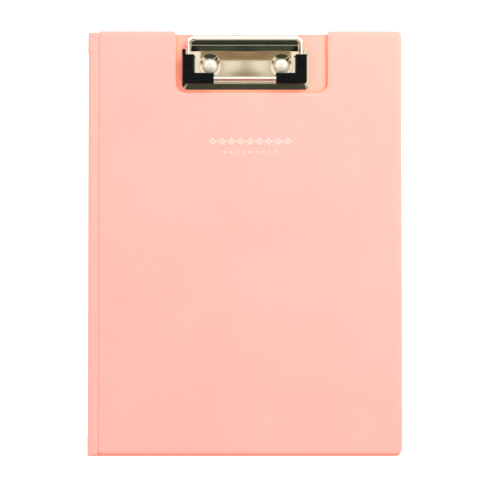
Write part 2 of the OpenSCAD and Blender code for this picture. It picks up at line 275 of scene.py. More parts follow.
def smoothstep(low: float, high: float, value: np.ndarray) -> np.ndarray:
    """Smooth 0 to 1 step: t squared times (3 minus 2t), with t the clipped share between low and high."""
    t = np.clip((value - low) / (high - low), 0, 1)
    return t * t * (3 - 2 * t)


# ------------------------------------------------------------------ finishes


class NodeSheet:
    """Places and joins shader nodes in one tree."""

    SPACING = 220

    def __init__(self, tree: bpy.types.NodeTree) -> None:
        """Starts on an empty tree."""
        self.tree = tree

    def add(self, kind: str, values: dict | None = None, **settings: object) -> bpy.types.Node:
        """New node with its settings and its inputs.

        Args:
            kind: Blender's node type.
            values: input name or number to a value, or to the output that feeds it.
            settings: attributes of the node.

        Returns:
            The node.
        """
        node = self.tree.nodes.new(kind)
        for key, value in settings.items():
            setattr(node, key, value)
        for key, value in (values or {}).items():
            if isinstance(value, Socket):
                self.join(value, node.inputs[key])
            else:
                node.inputs[key].default_value = value
        node.location = (self.SPACING * len(self.tree.nodes), 0)
        return node

    def join(self, source: Socket, target: Socket) -> None:
        """Links an output to an input."""
        self.tree.links.new(source, target)

    def math(self, operation: str, first: object, second: object = 0.0, clamp: bool = False) -> Socket:
        """Result of a Math node whose operands are sockets or numbers."""
        values = {0: first, 1: second}
        return self.add("ShaderNodeMath", values, operation=operation, use_clamp=clamp).outputs[0]


def new_group(name: str, inputs: dict[str, tuple[str, object]], outputs: dict[str, str]
              ) -> tuple[bpy.types.NodeTree, NodeSheet, bpy.types.Node, bpy.types.Node]:
    """Empty shader group with named sockets.

    Args:
        name: name of the group.
        inputs: socket name to its type and default value.
        outputs: socket name to its type.

    Returns:
        The group, its sheet, and its input and output nodes.
    """
    group = bpy.data.node_groups.new(name, "ShaderNodeTree")
    for label, (kind, default) in inputs.items():
        socket = group.interface.new_socket(name=label, in_out="INPUT", socket_type=kind)
        if default is not None:
            socket.default_value = default
    for label, kind in outputs.items():
        group.interface.new_socket(name=label, in_out="OUTPUT", socket_type=kind)
    sheet = NodeSheet(group)
    return group, sheet, sheet.add("NodeGroupInput"), sheet.add("NodeGroupOutput")


class Effects:
    """Node groups shared by the finishes, each built once."""

    def __init__(self) -> None:
        """Builds every group."""
        self.grain = self._grain()
        self.mottle = self._mottle()
        self.polish = self._polish()

    @staticmethod
    def _grain() -> bpy.types.NodeTree:
        """Embossed grain: rounded cells of a Voronoi pattern, roughened by fine noise."""
        group, sheet, given, result = new_group(
            "embossed_grain",
            {"Vector": ("NodeSocketVector", None), "Density": ("NodeSocketFloat", 1200.0),
             "Regularity": ("NodeSocketFloat", 0.7)},
            {"Height": "NodeSocketFloat", "Valley": "NodeSocketFloat"})
        vector, density = given.outputs["Vector"], given.outputs["Density"]
        cells = sheet.add("ShaderNodeTexVoronoi", {
            "Smoothness": 0.35, "Vector": vector, "Scale": density,
            "Randomness": sheet.math("SUBTRACT", 1.0, given.outputs["Regularity"])}, feature="SMOOTH_F1")
        fine = sheet.add("ShaderNodeTexNoise", {
            "Detail": 3.0, "Roughness": 0.6, "Vector": vector, "Scale": sheet.math("MULTIPLY", density, 2.7)})
        valley = sheet.math("MULTIPLY", cells.outputs["Distance"], 1.35, clamp=True)
        dome = sheet.math("SUBTRACT", 1.0, sheet.math("MULTIPLY", valley, valley))
        height = sheet.math("ADD", dome, sheet.math("MULTIPLY", fine.outputs["Fac"], 0.35))
        sheet.join(height, result.inputs["Height"])
        sheet.join(valley, result.inputs["Valley"])
        return group

    @staticmethod
    def _mottle() -> bpy.types.NodeTree:
        """Slow and fast tone changes mixed into one factor round 0.5."""
        group, sheet, given, result = new_group(
            "tone_mottle",
            {"Vector": ("NodeSocketVector", None), "Slow": ("NodeSocketFloat", 18.0),
             "Fast": ("NodeSocketFloat", 600.0)},
            {"Factor": "NodeSocketFloat"})
        vector = given.outputs["Vector"]
        slow = sheet.add("ShaderNodeTexNoise", {
            "Detail": 2.0, "Roughness": 0.5, "Vector": vector, "Scale": given.outputs["Slow"]})
        fast = sheet.add("ShaderNodeTexNoise", {
            "Detail": 4.0, "Roughness": 0.65, "Vector": vector, "Scale": given.outputs["Fast"]})
        mixed = sheet.math("ADD", sheet.math("MULTIPLY", slow.outputs["Fac"], 0.6),
                           sheet.math("MULTIPLY", fast.outputs["Fac"], 0.4))
        sheet.join(mixed, result.inputs["Factor"])
        return group

    @staticmethod
    def _polish() -> bpy.types.NodeTree:
        """Polished metal: faint hairlines along one direction and soft smudges."""
        group, sheet, given, result = new_group(
            "polish_marks",
            {"Vector": ("NodeSocketVector", None), "Stretch": ("NodeSocketVector", (40.0, 2600.0, 2600.0))},
            {"Hairline": "NodeSocketFloat", "Smudge": "NodeSocketFloat"})
        vector = given.outputs["Vector"]
        scaled = sheet.add("ShaderNodeVectorMath", {0: vector, 1: given.outputs["Stretch"]},
                           operation="MULTIPLY")
        lines = sheet.add("ShaderNodeTexNoise", {"Scale": 1.0, "Detail": 2.0, "Vector": scaled.outputs[0]})
        smudge = sheet.add("ShaderNodeTexNoise", {
            "Scale": 90.0, "Detail": 3.0, "Roughness": 0.55, "Vector": vector})
        sheet.join(lines.outputs["Fac"], result.inputs["Hairline"])
        sheet.join(smudge.outputs["Fac"], result.inputs["Smudge"])
        return group


@dataclass(frozen=True)
class Finish:
    """Base of every finish: a named material with Object coordinates and a Principled shader."""

    TINT_SPAN = (0.35, 0.65)

    name: str
    colour: Triple
    roughness: float

    def start(self) -> tuple[bpy.types.Material, NodeSheet, Socket, bpy.types.Node]:
        """New material with its sheet, its coordinates and its shader."""
        material = bpy.data.materials.new(self.name)
        material.use_nodes = True
        material.node_tree.nodes.clear()
        sheet = NodeSheet(material.node_tree)
        place = sheet.add("ShaderNodeTexCoord")
        shader = sheet.add("ShaderNodeBsdfPrincipled",
                           {"Base Color": (*self.colour, 1.0), "Roughness": self.roughness})
        output = sheet.add("ShaderNodeOutputMaterial")
        sheet.join(shader.outputs["BSDF"], output.inputs["Surface"])
        return material, sheet, place.outputs["Object"], shader

    @staticmethod
    def effect(sheet: NodeSheet, group: bpy.types.NodeTree, place: Socket,
               values: dict | None = None) -> bpy.types.Node:
        """Places a shared effect on the material's coordinates."""
        return sheet.add("ShaderNodeGroup", {**(values or {}), "Vector": place}, node_tree=group)

    def tint(self, sheet: NodeSheet, factor: Socket, low: float, high: float) -> Socket:
        """Base colour that runs between two shades of the finish's own colour.

        Args:
            sheet: sheet of the material.
            factor: mottle or smudge, round 0.5.
            low: share of the colour where the factor is low.
            high: share of the colour where the factor is high.

        Returns:
            The colour.
        """
        ramp = sheet.add("ShaderNodeValToRGB", {"Fac": factor})
        for element, position, share in zip(ramp.color_ramp.elements, self.TINT_SPAN, (low, high)):
            element.position = position
            element.color = (*[min(c * share, 1.0) for c in self.colour], 1.0)
        return ramp.outputs["Color"]

    @staticmethod
    def bump(sheet: NodeSheet, shader: bpy.types.Node, height: Socket, depth: float) -> None:
        """Feeds a height into the shader's normal, as a relief of the given depth."""
        node = sheet.add("ShaderNodeBump", {"Strength": 1.0, "Distance": depth, "Height": height})
        sheet.join(node.outputs["Normal"], shader.inputs["Normal"])

    def spread(self, sheet: NodeSheet, shader: bpy.types.Node, factor: Socket, amount: float) -> None:
        """Roughness that varies by plus or minus half the amount as the factor goes from 0 to 1."""
        varied = sheet.math("ADD", sheet.math("MULTIPLY", factor, amount), self.roughness - amount / 2)
        sheet.join(varied, shader.inputs["Roughness"])


@dataclass(frozen=True)
class Leatherette(Finish):
    """Coated sheet with a fine embossed grain, satin on the tops and duller in the valleys."""

    pitch: float = 0.95 * MM
    depth: float = 0.085 * MM
    valley_shade: float = 0.91

    def material(self, effects: Effects) -> bpy.types.Material:
        """Builds the material.

        Args:
            effects: the shared node groups.

        Returns:
            The material.
        """
        material, sheet, place, shader = self.start()
        grain = self.effect(sheet, effects.grain, place, {"Density": 1 / self.pitch, "Regularity": 0.45})
        mottle = self.effect(sheet, effects.mottle, place, {"Slow": 14.0, "Fast": 420.0})
        tone = self.tint(sheet, mottle.outputs["Factor"], 0.965, 1.03)
        valley = sheet.add("ShaderNodeValToRGB", {"Fac": grain.outputs["Valley"]})
        valley.color_ramp.elements[0].color = WHITE
        valley.color_ramp.elements[1].color = (*[self.valley_shade] * 3, 1.0)
        shade = sheet.add("ShaderNodeMix", {"Factor": 1.0, "A": tone, "B": valley.outputs["Color"]},
                          data_type="RGBA", blend_type="MULTIPLY")
        sheet.join(shade.outputs["Result"], shader.inputs["Base Color"])
        self.spread(sheet, shader, grain.outputs["Valley"], 0.16)
        shader.inputs["Specular IOR Level"].default_value = 0.35
        self.bump(sheet, shader, grain.outputs["Height"], self.depth)
        return material


@dataclass(frozen=True)
class Sheeting(Finish):
    """Matt sheet, board or foam: mottled tone and a shallow random relief.

    A sheet given a shade colour turns to it in narrow gaps, within reach of other faces: painted shade, mixed
    into the base colour by ambient occlusion.
    """

    slow: float = 25.0
    fast: float = 1500.0
    contrast: float = 0.06
    depth: float = 0.02 * MM
    # darker colour painted into narrow gaps as shade
    painted_gap_shade: Triple | None = None
    reach: float = 5 * MM

    def material(self, effects: Effects) -> bpy.types.Material:
        """Builds the material.

        Args:
            effects: the shared node groups.

        Returns:
            The material.
        """
        material, sheet, place, shader = self.start()
        mottle = self.effect(sheet, effects.mottle, place, {"Slow": self.slow, "Fast": self.fast})
        colour = self.tint(sheet, mottle.outputs["Factor"], 1 - self.contrast, 1 + self.contrast / 2)
        if self.painted_gap_shade is not None:
            # Painted shade: ambient occlusion turns the base colour to the darker shade colour in gaps near
            # other faces
            cover = sheet.add("ShaderNodeAmbientOcclusion", {"Distance": self.reach}, samples=8)
            unshaded_share = sheet.add("ShaderNodeMapRange", {
                "From Min": 0.35, "From Max": 0.95, "Value": cover.outputs["AO"]})
            blend = sheet.add("ShaderNodeMix", {
                "Factor": unshaded_share.outputs["Result"], "A": (*self.painted_gap_shade, 1.0), "B": colour}, data_type="RGBA")
            colour = blend.outputs["Result"]
        sheet.join(colour, shader.inputs["Base Color"])
        self.spread(sheet, shader, mottle.outputs["Factor"], 0.1)
        shader.inputs["Specular IOR Level"].default_value = 0.3
        self.bump(sheet, shader, mottle.outputs["Factor"], self.depth)
        return material


@dataclass(frozen=True)
class Plating(Finish):
    """Bright plated metal with faint hairlines and smudges."""

    stretch: Triple = (60.0, 2600.0, 2600.0)
    depth: float = 0.0008 * MM
    smudge: float = 0.05
    metal: float = 1.0

    def material(self, effects: Effects) -> bpy.types.Material:
        """Builds the material.

        Args:
            effects: the shared node groups.

        Returns:
            The material.
        """
        material, sheet, place, shader = self.start()
        shader.inputs["Metallic"].default_value = self.metal
        marks = self.effect(sheet, effects.polish, place, {"Stretch": self.stretch})
        colour = self.tint(sheet, marks.outputs["Smudge"], 0.97, 1.02)
        sheet.join(colour, shader.inputs["Base Color"])
        self.spread(sheet, shader, marks.outputs["Smudge"], self.smudge)
        self.bump(sheet, shader, marks.outputs["Hairline"], self.depth)
        return material


@dataclass(frozen=True)
class Moulded(Finish):
    """Moulded rubber or plastic with a fine spark-eroded texture."""

    texture: float = 3500.0
    depth: float = 0.01 * MM
    shine: float = 0.4

    def material(self, effects: Effects) -> bpy.types.Material:
        """Builds the material.

        Args:
            effects: the shared node groups.

        Returns:
            The material.
        """
        material, sheet, place, shader = self.start()
        mottle = self.effect(sheet, effects.mottle, place, {"Slow": 120.0, "Fast": self.texture})
        sheet.join(self.tint(sheet, mottle.outputs["Factor"], 0.85, 1.15), shader.inputs["Base Color"])
        self.spread(sheet, shader, mottle.outputs["Factor"], 0.12)
        shader.inputs["Specular IOR Level"].default_value = self.shine
        self.bump(sheet, shader, mottle.outputs["Factor"], self.depth)
        return material


class Palette:
    """Every finish of the clipboard, made once."""

    def __init__(self) -> None:
        """Builds the shared effects and all materials."""
        effects = Effects()
        pink = (0.985, 0.353, 0.30)
        salmon = (0.97, 0.345, 0.28)
        nickel = (0.90, 0.87, 0.80)
        self.skin = Leatherette("pink_leatherette", pink, 0.52).material(effects)
        # the lining's second, darker colour is painted shade in its narrow gaps
        self.lining = Sheeting("salmon_lining", salmon, 0.6, painted_gap_shade=(1.0, 0.36, 0.15)).material(effects)
        self.board = Sheeting("greyboard", (0.30, 0.26, 0.215), 0.9, slow=60.0, fast=2500.0, contrast=0.25,
                              depth=0.05 * MM).material(effects)
        self.foam = Sheeting("white_foam", (0.85, 0.83, 0.79), 0.95, slow=80.0, fast=2500.0, contrast=0.1,
                             depth=0.08 * MM).material(effects)
        self.plate = Plating("nickel_plate", nickel, 0.09).material(effects)
        self.rivet = Plating("nickel_rivet", nickel, 0.30, stretch=(300.0, 300.0, 300.0), depth=0.002 * MM,
                             metal=0.7).material(effects)
        self.wire = Plating("nickel_wire", (0.92, 0.91, 0.88), 0.08,
                            stretch=(200.0, 200.0, 3000.0)).material(effects)
        self.spring = Plating("spring_steel", (0.30, 0.30, 0.32), 0.35,
                              stretch=(200.0, 3000.0, 3000.0)).material(effects)
        self.foil = Plating("silver_foil", (0.90, 0.60, 0.55), 0.42, stretch=(900.0, 900.0, 900.0),
                            depth=0.004 * MM, smudge=0.15, metal=0.25).material(effects)
        self.rubber = Moulded("black_rubber", (0.0003, 0.0018, 0.003), 0.30, shine=0.17).material(effects)
        self.nylon = Moulded("nylon_bush", (0.80, 0.78, 0.72), 0.45).material(effects)


# ------------------------------------------------------------------ measures from the frame


class Measures:
    """Places and sizes that several pieces share, read from the frame's boxes and joints."""

    def __init__(self) -> None:
        """Reads the boxes of the CAD nodes."""
        self.cover_low, self.cover_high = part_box("cover_skin")
        self.back_low, self.back_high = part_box("back_skin")
        self.spine_low, self.spine_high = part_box("spine_skin")
        self.plate_low, self.plate_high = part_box("clip_base_plate")
        self.grip_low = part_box("rubber_corner_left")[0]
        joints = {joint["name"]: joint for joint in frame["joints"]}
        self.spine_hinge = Vector(joints["spine_fold"]["pos_m"])
        self.clamp_axis = Vector(joints["clamp_lift"]["pos_m"])
        self.top = self.cover_high.z
        self.fold_radius = self.top / 2
        self.fold_x = self.spine_low.x + self.fold_radius


def ride(piece: bpy.types.Object, body: Body, slot: str, *replaced: str) -> bpy.types.Object:
    """Makes a piece move with a body and stand for CAD nodes.

    Args:
        piece: the finished piece.
        body: the body it moves with.
        slot: the record's material slot.
        replaced: CAD nodes that it stands for.

    Returns:
        The piece.
    """
    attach(piece, body.value)
    return declare(piece, slot, *replaced)


def declare(piece: bpy.types.Object, slot: str, *replaced: str) -> bpy.types.Object:
    """Hides the CAD nodes that a piece stands for, and logs it.

    Args:
        piece: the finished piece.
        slot: the record's material slot; not used.
        replaced: CAD nodes that it stands for.

    Returns:
        The piece.
    """
    if replaced:
        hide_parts(*replaced)
    LOG.info("%s: %d faces, for %s", piece.name, len(piece.data.polygons), ", ".join(replaced) or "itself")
    return piece


def dress(piece: bpy.types.Object, material: bpy.types.Material) -> bpy.types.Object:
    """Gives a piece one material.

    Args:
        piece: the piece.
        material: its only material.

    Returns:
        The piece.
    """
    piece.data.materials.clear()
    piece.data.materials.append(material)
    return piece


# ------------------------------------------------------------------ skins


@dataclass
class CoverSkin:
    """Padded front cover: a skin with pressed edges over a foam sheet, with a notch for the clip."""

    measures: Measures
    notch_front_gap: float = 2.2 * MM
    notch_spine_gap: float = 4.5 * MM
    notch_finger_gap: float = 13.4 * MM
    notch_radius: float = 7.0 * MM
    lip_radius: float = 3.0 * MM
    outer_radius: float = 4.2 * MM
    spine_radius: float = 2.2 * MM
    thickness: float = 0.5 * MM
    roll: float = 5.2 * MM
    roll_drop: float = 0.42 * MM
    edge: float = 0.9 * MM
    inside_fit: float = 0.06 * MM
    spine_roll: float = 0.3
    spine_roll_width: float = 9 * MM
    flat_rim: float = 0.8 * MM
    rim_share: float = 1.2
    hem: BrokenLine = ((0.0, 0.3), (0.08, 0.08), (0.3, 0.0))
    glue: float = 0.01 * MM
    foam_fill: float = 0.6

    def outline(self) -> Outline:
        """Plan of the cover, anticlockwise from the tail corner beside the spine."""
        low, high = self.measures.cover_low, self.measures.cover_high
        plate_low, plate_high = self.measures.plate_low, self.measures.plate_high
        left = plate_low.x - self.notch_spine_gap
        right = plate_high.x + self.notch_finger_gap
        foot = plate_low.y - self.notch_front_gap
        return Outline([
            Corner(low.x, low.y, self.spine_radius), Corner(high.x, low.y, self.outer_radius),
            Corner(high.x, high.y, self.outer_radius), Corner(right, high.y, self.lip_radius),
            Corner(right, foot, self.notch_radius, hollow=True),
            Corner(left, foot, self.notch_radius, hollow=True),
            Corner(left, high.y, self.lip_radius), Corner(low.x, high.y, self.spine_radius)], arc_points=14)

    def crown(self, inset: np.ndarray) -> np.ndarray:
        """Drop of the padded face at a distance from the edge: a parabola that ends where the roll does."""
        share = np.clip((self.roll - inset) / (self.roll - self.edge), 0, None)
        return self.roll_drop * share ** 2

    def face(self, lift: float, first: float) -> list[tuple[float, float]]:
        """Rings of the padded face from its flat middle outwards.

        Args:
            lift: height over the cover's top.
            first: inset of the outermost ring.

        Returns:
            Inset and height of each ring.
        """
        insets = np.concatenate([[self.roll + self.flat_rim], np.linspace(self.roll, first, 12)])
        heights = self.measures.top + lift - self.crown(insets)
        return list(zip(insets.tolist(), heights.tolist()))

    def level(self, shell: Shell) -> Shell:
        """Lifts the padded face's roll near the spine: the drop is scaled by a smooth step of X.

        Args:
            shell: rings and faces of the skin or the foam.

        Returns:
            The same shell with the face's rings lifted.
        """
        rings, faces = shell
        low = self.measures.cover_low.x
        away = smoothstep(low, low + self.spine_roll_width, rings[..., 0])
        keep = self.spine_roll + (1 - self.spine_roll) * away
        for level in (self.measures.top, self.measures.top - self.thickness):
            drop = level - rings[..., 2]
            rolled = (drop > 0) & (drop < self.roll_drop + 1e-6)
            rings[..., 2] = np.where(rolled, level - drop * keep, rings[..., 2])
        return rings, faces

    def build(self, palette: Palette) -> None:
        """Makes the skin and the foam under it.

        Args:
            palette: the finishes.
        """
        inner_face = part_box("cover_lining")[0].z
        brow = self.face(0.0, self.edge)
        edge_top = brow[-1][1]
        turn = np.radians(np.linspace(15, 90, 6))
        rim = [(self.edge * (1 - math.sin(a)), edge_top - self.edge * self.rim_share * (1 - math.cos(a)))
               for a in turn]
        hem = [(inset * MM, inner_face + rise * MM) for inset, rise in self.hem]
        hem += [(self.thickness, inner_face)]
        inner = self.face(-self.thickness, self.thickness)[::-1]
        skin = solid("cover_padded_skin", [self.level(slab_shell(self.outline(), brow + rim + hem + inner))])
        ride(dress(skin, palette.skin), Body.COVER, "pink_leatherette", "cover_skin")
        foam_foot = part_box("cover_padding")[0].z
        first = self.thickness + self.inside_fit
        foam_face = self.face(-self.thickness - self.glue, first)
        foot = [(first, foam_foot), (self.roll, foam_foot)]
        foam = solid("cover_foam_sheet", [self.level(slab_shell(self.outline(), foam_face + foot))])
        ride(dress(foam, palette.foam), Body.COVER, "white_foam", "cover_padding")


@dataclass
class BackSkin:
    """Outer skin of the back panel, turned up round its board on three sides."""

    measures: Measures
    outer_radius: float = 4.2 * MM
    seam_radius: float = 0.6 * MM
    thickness: float = 0.5 * MM
    edge: float = 0.6 * MM
    overlap: float = 0.15 * MM
    rim: float = 1.1 * MM
    turn_in: float = 0.05 * MM
    floor_rim: float = 0.5 * MM
    hem: BrokenLine = ((0.0, -0.4), (0.1, -0.14), (0.28, -0.02), (0.45, 0.0))

    def build(self, palette: Palette) -> None:
        """Makes the tray of skin; its folded edge ends inside the fold skin.

        Args:
            palette: the finishes.
        """
        low, high = self.measures.back_low, self.measures.back_high
        left = self.measures.fold_x + self.overlap
        plan = Outline([Corner(left, low.y, self.seam_radius), Corner(high.x, low.y, self.outer_radius),
                        Corner(high.x, high.y, self.outer_radius), Corner(left, high.y, self.seam_radius)])
        turn = np.radians(np.linspace(0, 90, 7))
        foot = [(self.edge + self.floor_rim, 0.0)]
        rim = [(self.edge * (1 - math.sin(a)), self.edge * (1 - math.cos(a))) for a in turn]
        lap = high.z + self.turn_in
        hem = [(inset * MM, lap + rise * MM) for inset, rise in self.hem]
        hem += [(self.rim, lap), (self.rim, high.z), (self.thickness, high.z), (self.thickness, self.thickness),
                (self.thickness + self.floor_rim, self.thickness)]
        skin = solid("back_outer_skin", [slab_shell(plan, foot + rim + hem)])
        ride(dress(skin, palette.skin), Body.BACK, "pink_leatherette", "back_skin")


@dataclass
class SpineSkins:
    """The spine strip with the skin that folds round the back's edge, and the web in the groove."""

    measures: Measures
    sink: float = 0.35 * MM
    hem_length: float = 15.2 * MM
    hem_step: float = 0.5 * MM
    thickness: float = 0.5 * MM
    edge: float = 0.7 * MM
    end_edge: float = 0.35 * MM
    seam: float = 1.05 * MM
    stations: int = 60
    fold_points: int = 33
    web_points: int = 25
    rows: int = 40
    web_lap: float = 0.4 * MM
    web_gap: float = 0.3 * MM
    web_sheet: float = 0.4 * MM
    web_end: float = 0.6 * MM
    lining_sheet: float = 0.14 * MM
    lining_end: float = 2 * MM
    lining_run: float = 1.6 * MM
    lining_shift: float = 0.55 * MM
    bend_reach: float = 0.8 * MM

    def outer_path(self) -> tuple[np.ndarray, np.ndarray]:
        """Outside of the folded skin in X and Z, from under the back to the groove.

        A half circle of the fold's radius joins the back's face to the strip's face, and a quarter
        circle rounds the strip's edge down into the groove.

        Returns:
            Points, and for each how much of the strip's sink it takes.
        """
        m = self.measures
        low_flat = np.array([[m.fold_x + self.seam, 0.0]])
        fold = arc(m.fold_x, m.fold_radius, m.fold_radius, 270, 90, self.fold_points)
        right = m.spine_high.x
        flat = np.column_stack([np.linspace(m.fold_x, right - self.edge, 6)[1:-1], np.full(4, m.top)])
        brow = arc(right - self.edge, m.top - self.edge, self.edge, 90, 0, 8)
        foot_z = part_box("spine_lining")[0].z
        side = np.array([[right, foot_z + 0.3 * MM], [right - 0.1 * MM, foot_z + 0.06 * MM],
                         [right - 0.35 * MM, foot_z]])
        fold_share = smoothstep(250, 150, np.linspace(270, 90, self.fold_points))
        share = np.concatenate([[0.0], fold_share, np.ones(4), np.ones(8), np.zeros(3)])
        return np.vstack([low_flat, fold, flat, brow, side]), share

    def inner_path(self) -> np.ndarray:
        """Inside of the folded skin, from the groove back to under the back."""
        m = self.measures
        right = m.spine_high.x - self.thickness
        foot_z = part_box("spine_lining")[0].z
        roof = m.top - self.sink - self.thickness
        angle = np.linspace(90, 270, self.fold_points)
        radius = np.interp(angle, [90, 270], [roof - m.fold_radius, m.fold_radius - self.thickness])
        fold = np.column_stack([m.fold_x + radius * np.cos(np.radians(angle)),
                                m.fold_radius + radius * np.sin(np.radians(angle))])
        return np.vstack([[[right, foot_z], [right, roof]], fold, [[m.fold_x + self.seam, self.thickness]]])

    def fold_skin(self) -> bpy.types.Object:
        """The strip and its fold, carried from tail to head, sunk between the two hems."""
        m = self.measures
        outer, share = self.outer_path()
        inner = self.inner_path()
        step = np.gradient(outer, axis=0)
        inward = np.column_stack([step[:, 1], -step[:, 0]])
        inward /= np.linalg.norm(inward, axis=1)[:, None]
        half = (m.spine_high.y - m.spine_low.y) / 2
        centre = (m.spine_high.y + m.spine_low.y) / 2
        shift = (m.back_low.y + m.back_high.y) / 2 - centre
        turn = np.radians(np.linspace(0, 90, 5))
        ends = half - self.end_edge * (1 - np.sin(turn))
        marks = half - self.hem_length + self.hem_step * np.linspace(-1, 1, 7)
        positive = np.unique(np.concatenate([np.linspace(0, half - self.end_edge, self.stations), marks, ends]))
        along = np.concatenate([-positive[:0:-1], positive])
        sunk = smoothstep(half - self.hem_length + self.hem_step, half - self.hem_length - self.hem_step,
                          np.abs(along)) * self.sink
        over = np.clip(np.abs(along) - (half - self.end_edge), 0, self.end_edge)
        rounded = self.end_edge - np.sqrt(np.maximum(self.end_edge ** 2 - over ** 2, 0))
        drop = sunk[:, None] * share[None, :] + rounded[:, None]
        outer_rings = outer[None] + drop[..., None] * inward[None]
        inner_rings = np.broadcast_to(inner[None], (len(along), *inner.shape))
        section = np.concatenate([outer_rings, inner_rings], axis=1)
        fade = smoothstep(m.top * 0.9, m.top * 0.1, section[..., 1])
        y = along[:, None] + centre + shift * fade
        rings = np.stack([section[..., 0], y, section[..., 1]], axis=-1)
        return solid("spine_fold_skin", [ring_shell(rings)])

    def groove_web(self) -> bpy.types.Object:
        """Thin web of skin at the bottom of the groove."""
        m = self.measures
        roof = m.top - self.sink - self.web_gap
        x = np.linspace(m.spine_high.x - self.web_lap, m.cover_low.x + self.web_lap, self.web_points)
        loop = np.concatenate([np.column_stack([x, np.full(len(x), roof)]),
                               np.column_stack([x[::-1], np.full(len(x), roof - self.web_sheet)])])
        low = max(m.spine_low.y, m.cover_low.y) + self.web_end
        high = min(m.spine_high.y, m.cover_high.y) - self.web_end
        return solid("groove_web", [self.carried(loop, low, high)])

    def carried(self, loop: np.ndarray, low: float, high: float) -> Shell:
        """Shell of a closed loop in X and Z that is carried straight along the page.

        Args:
            loop: N by 2 points in X and Z.
            low: its tail end.
            high: its head end.

        Returns:
            Points and faces.
        """
        shape = (self.rows, len(loop))
        y = np.linspace(low, high, self.rows)
        return ring_shell(np.stack([np.broadcast_to(loop[:, 0], shape), np.broadcast_to(y[:, None], shape),
                                    np.broadcast_to(loop[:, 1], shape)], axis=-1))

    def fold_lining(self) -> bpy.types.Object:
        """Thin lining that turns back on itself inside the fold, from the back to the spine strip."""
        m = self.measures
        sheet = self.lining_sheet
        floor, roof = m.back_high.z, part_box("spine_lining")[0].z
        mid, radius = (floor + roof) / 2, (roof - floor) / 2
        centre_x = m.spine_hinge.x + self.lining_shift
        run = np.linspace(m.fold_x + self.lining_run, centre_x, 12)[:-1]
        back = run[::-1]
        loop = np.vstack([
            np.column_stack([run, np.full(len(run), floor)]), arc(centre_x, mid, radius, 270, 90, 21),
            np.column_stack([back, np.full(len(run), roof)]),
            np.column_stack([run, np.full(len(run), roof - sheet)]),
            arc(centre_x, mid, radius - sheet, 90, 270, 21),
            np.column_stack([back, np.full(len(run), floor + sheet)])])
        low, high = m.back_low.y + self.lining_end, m.back_high.y - self.lining_end
        return solid("fold_lining", [self.carried(loop, low, high)])

    def build(self, palette: Palette) -> None:
        """Makes all three pieces and bakes their placement into their meshes.

        Args:
            palette: the finishes.
        """
        fold = dress(self.fold_skin(), palette.skin)
        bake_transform(fold)
        declare(fold, "pink_leatherette", "spine_skin")
        web = dress(self.groove_web(), palette.skin)
        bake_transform(web)
        declare(web, "pink_leatherette")
        lining = dress(self.fold_lining(), palette.lining)
        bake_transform(lining)
        declare(lining, "salmon_lining")


# ------------------------------------------------------------------ clip


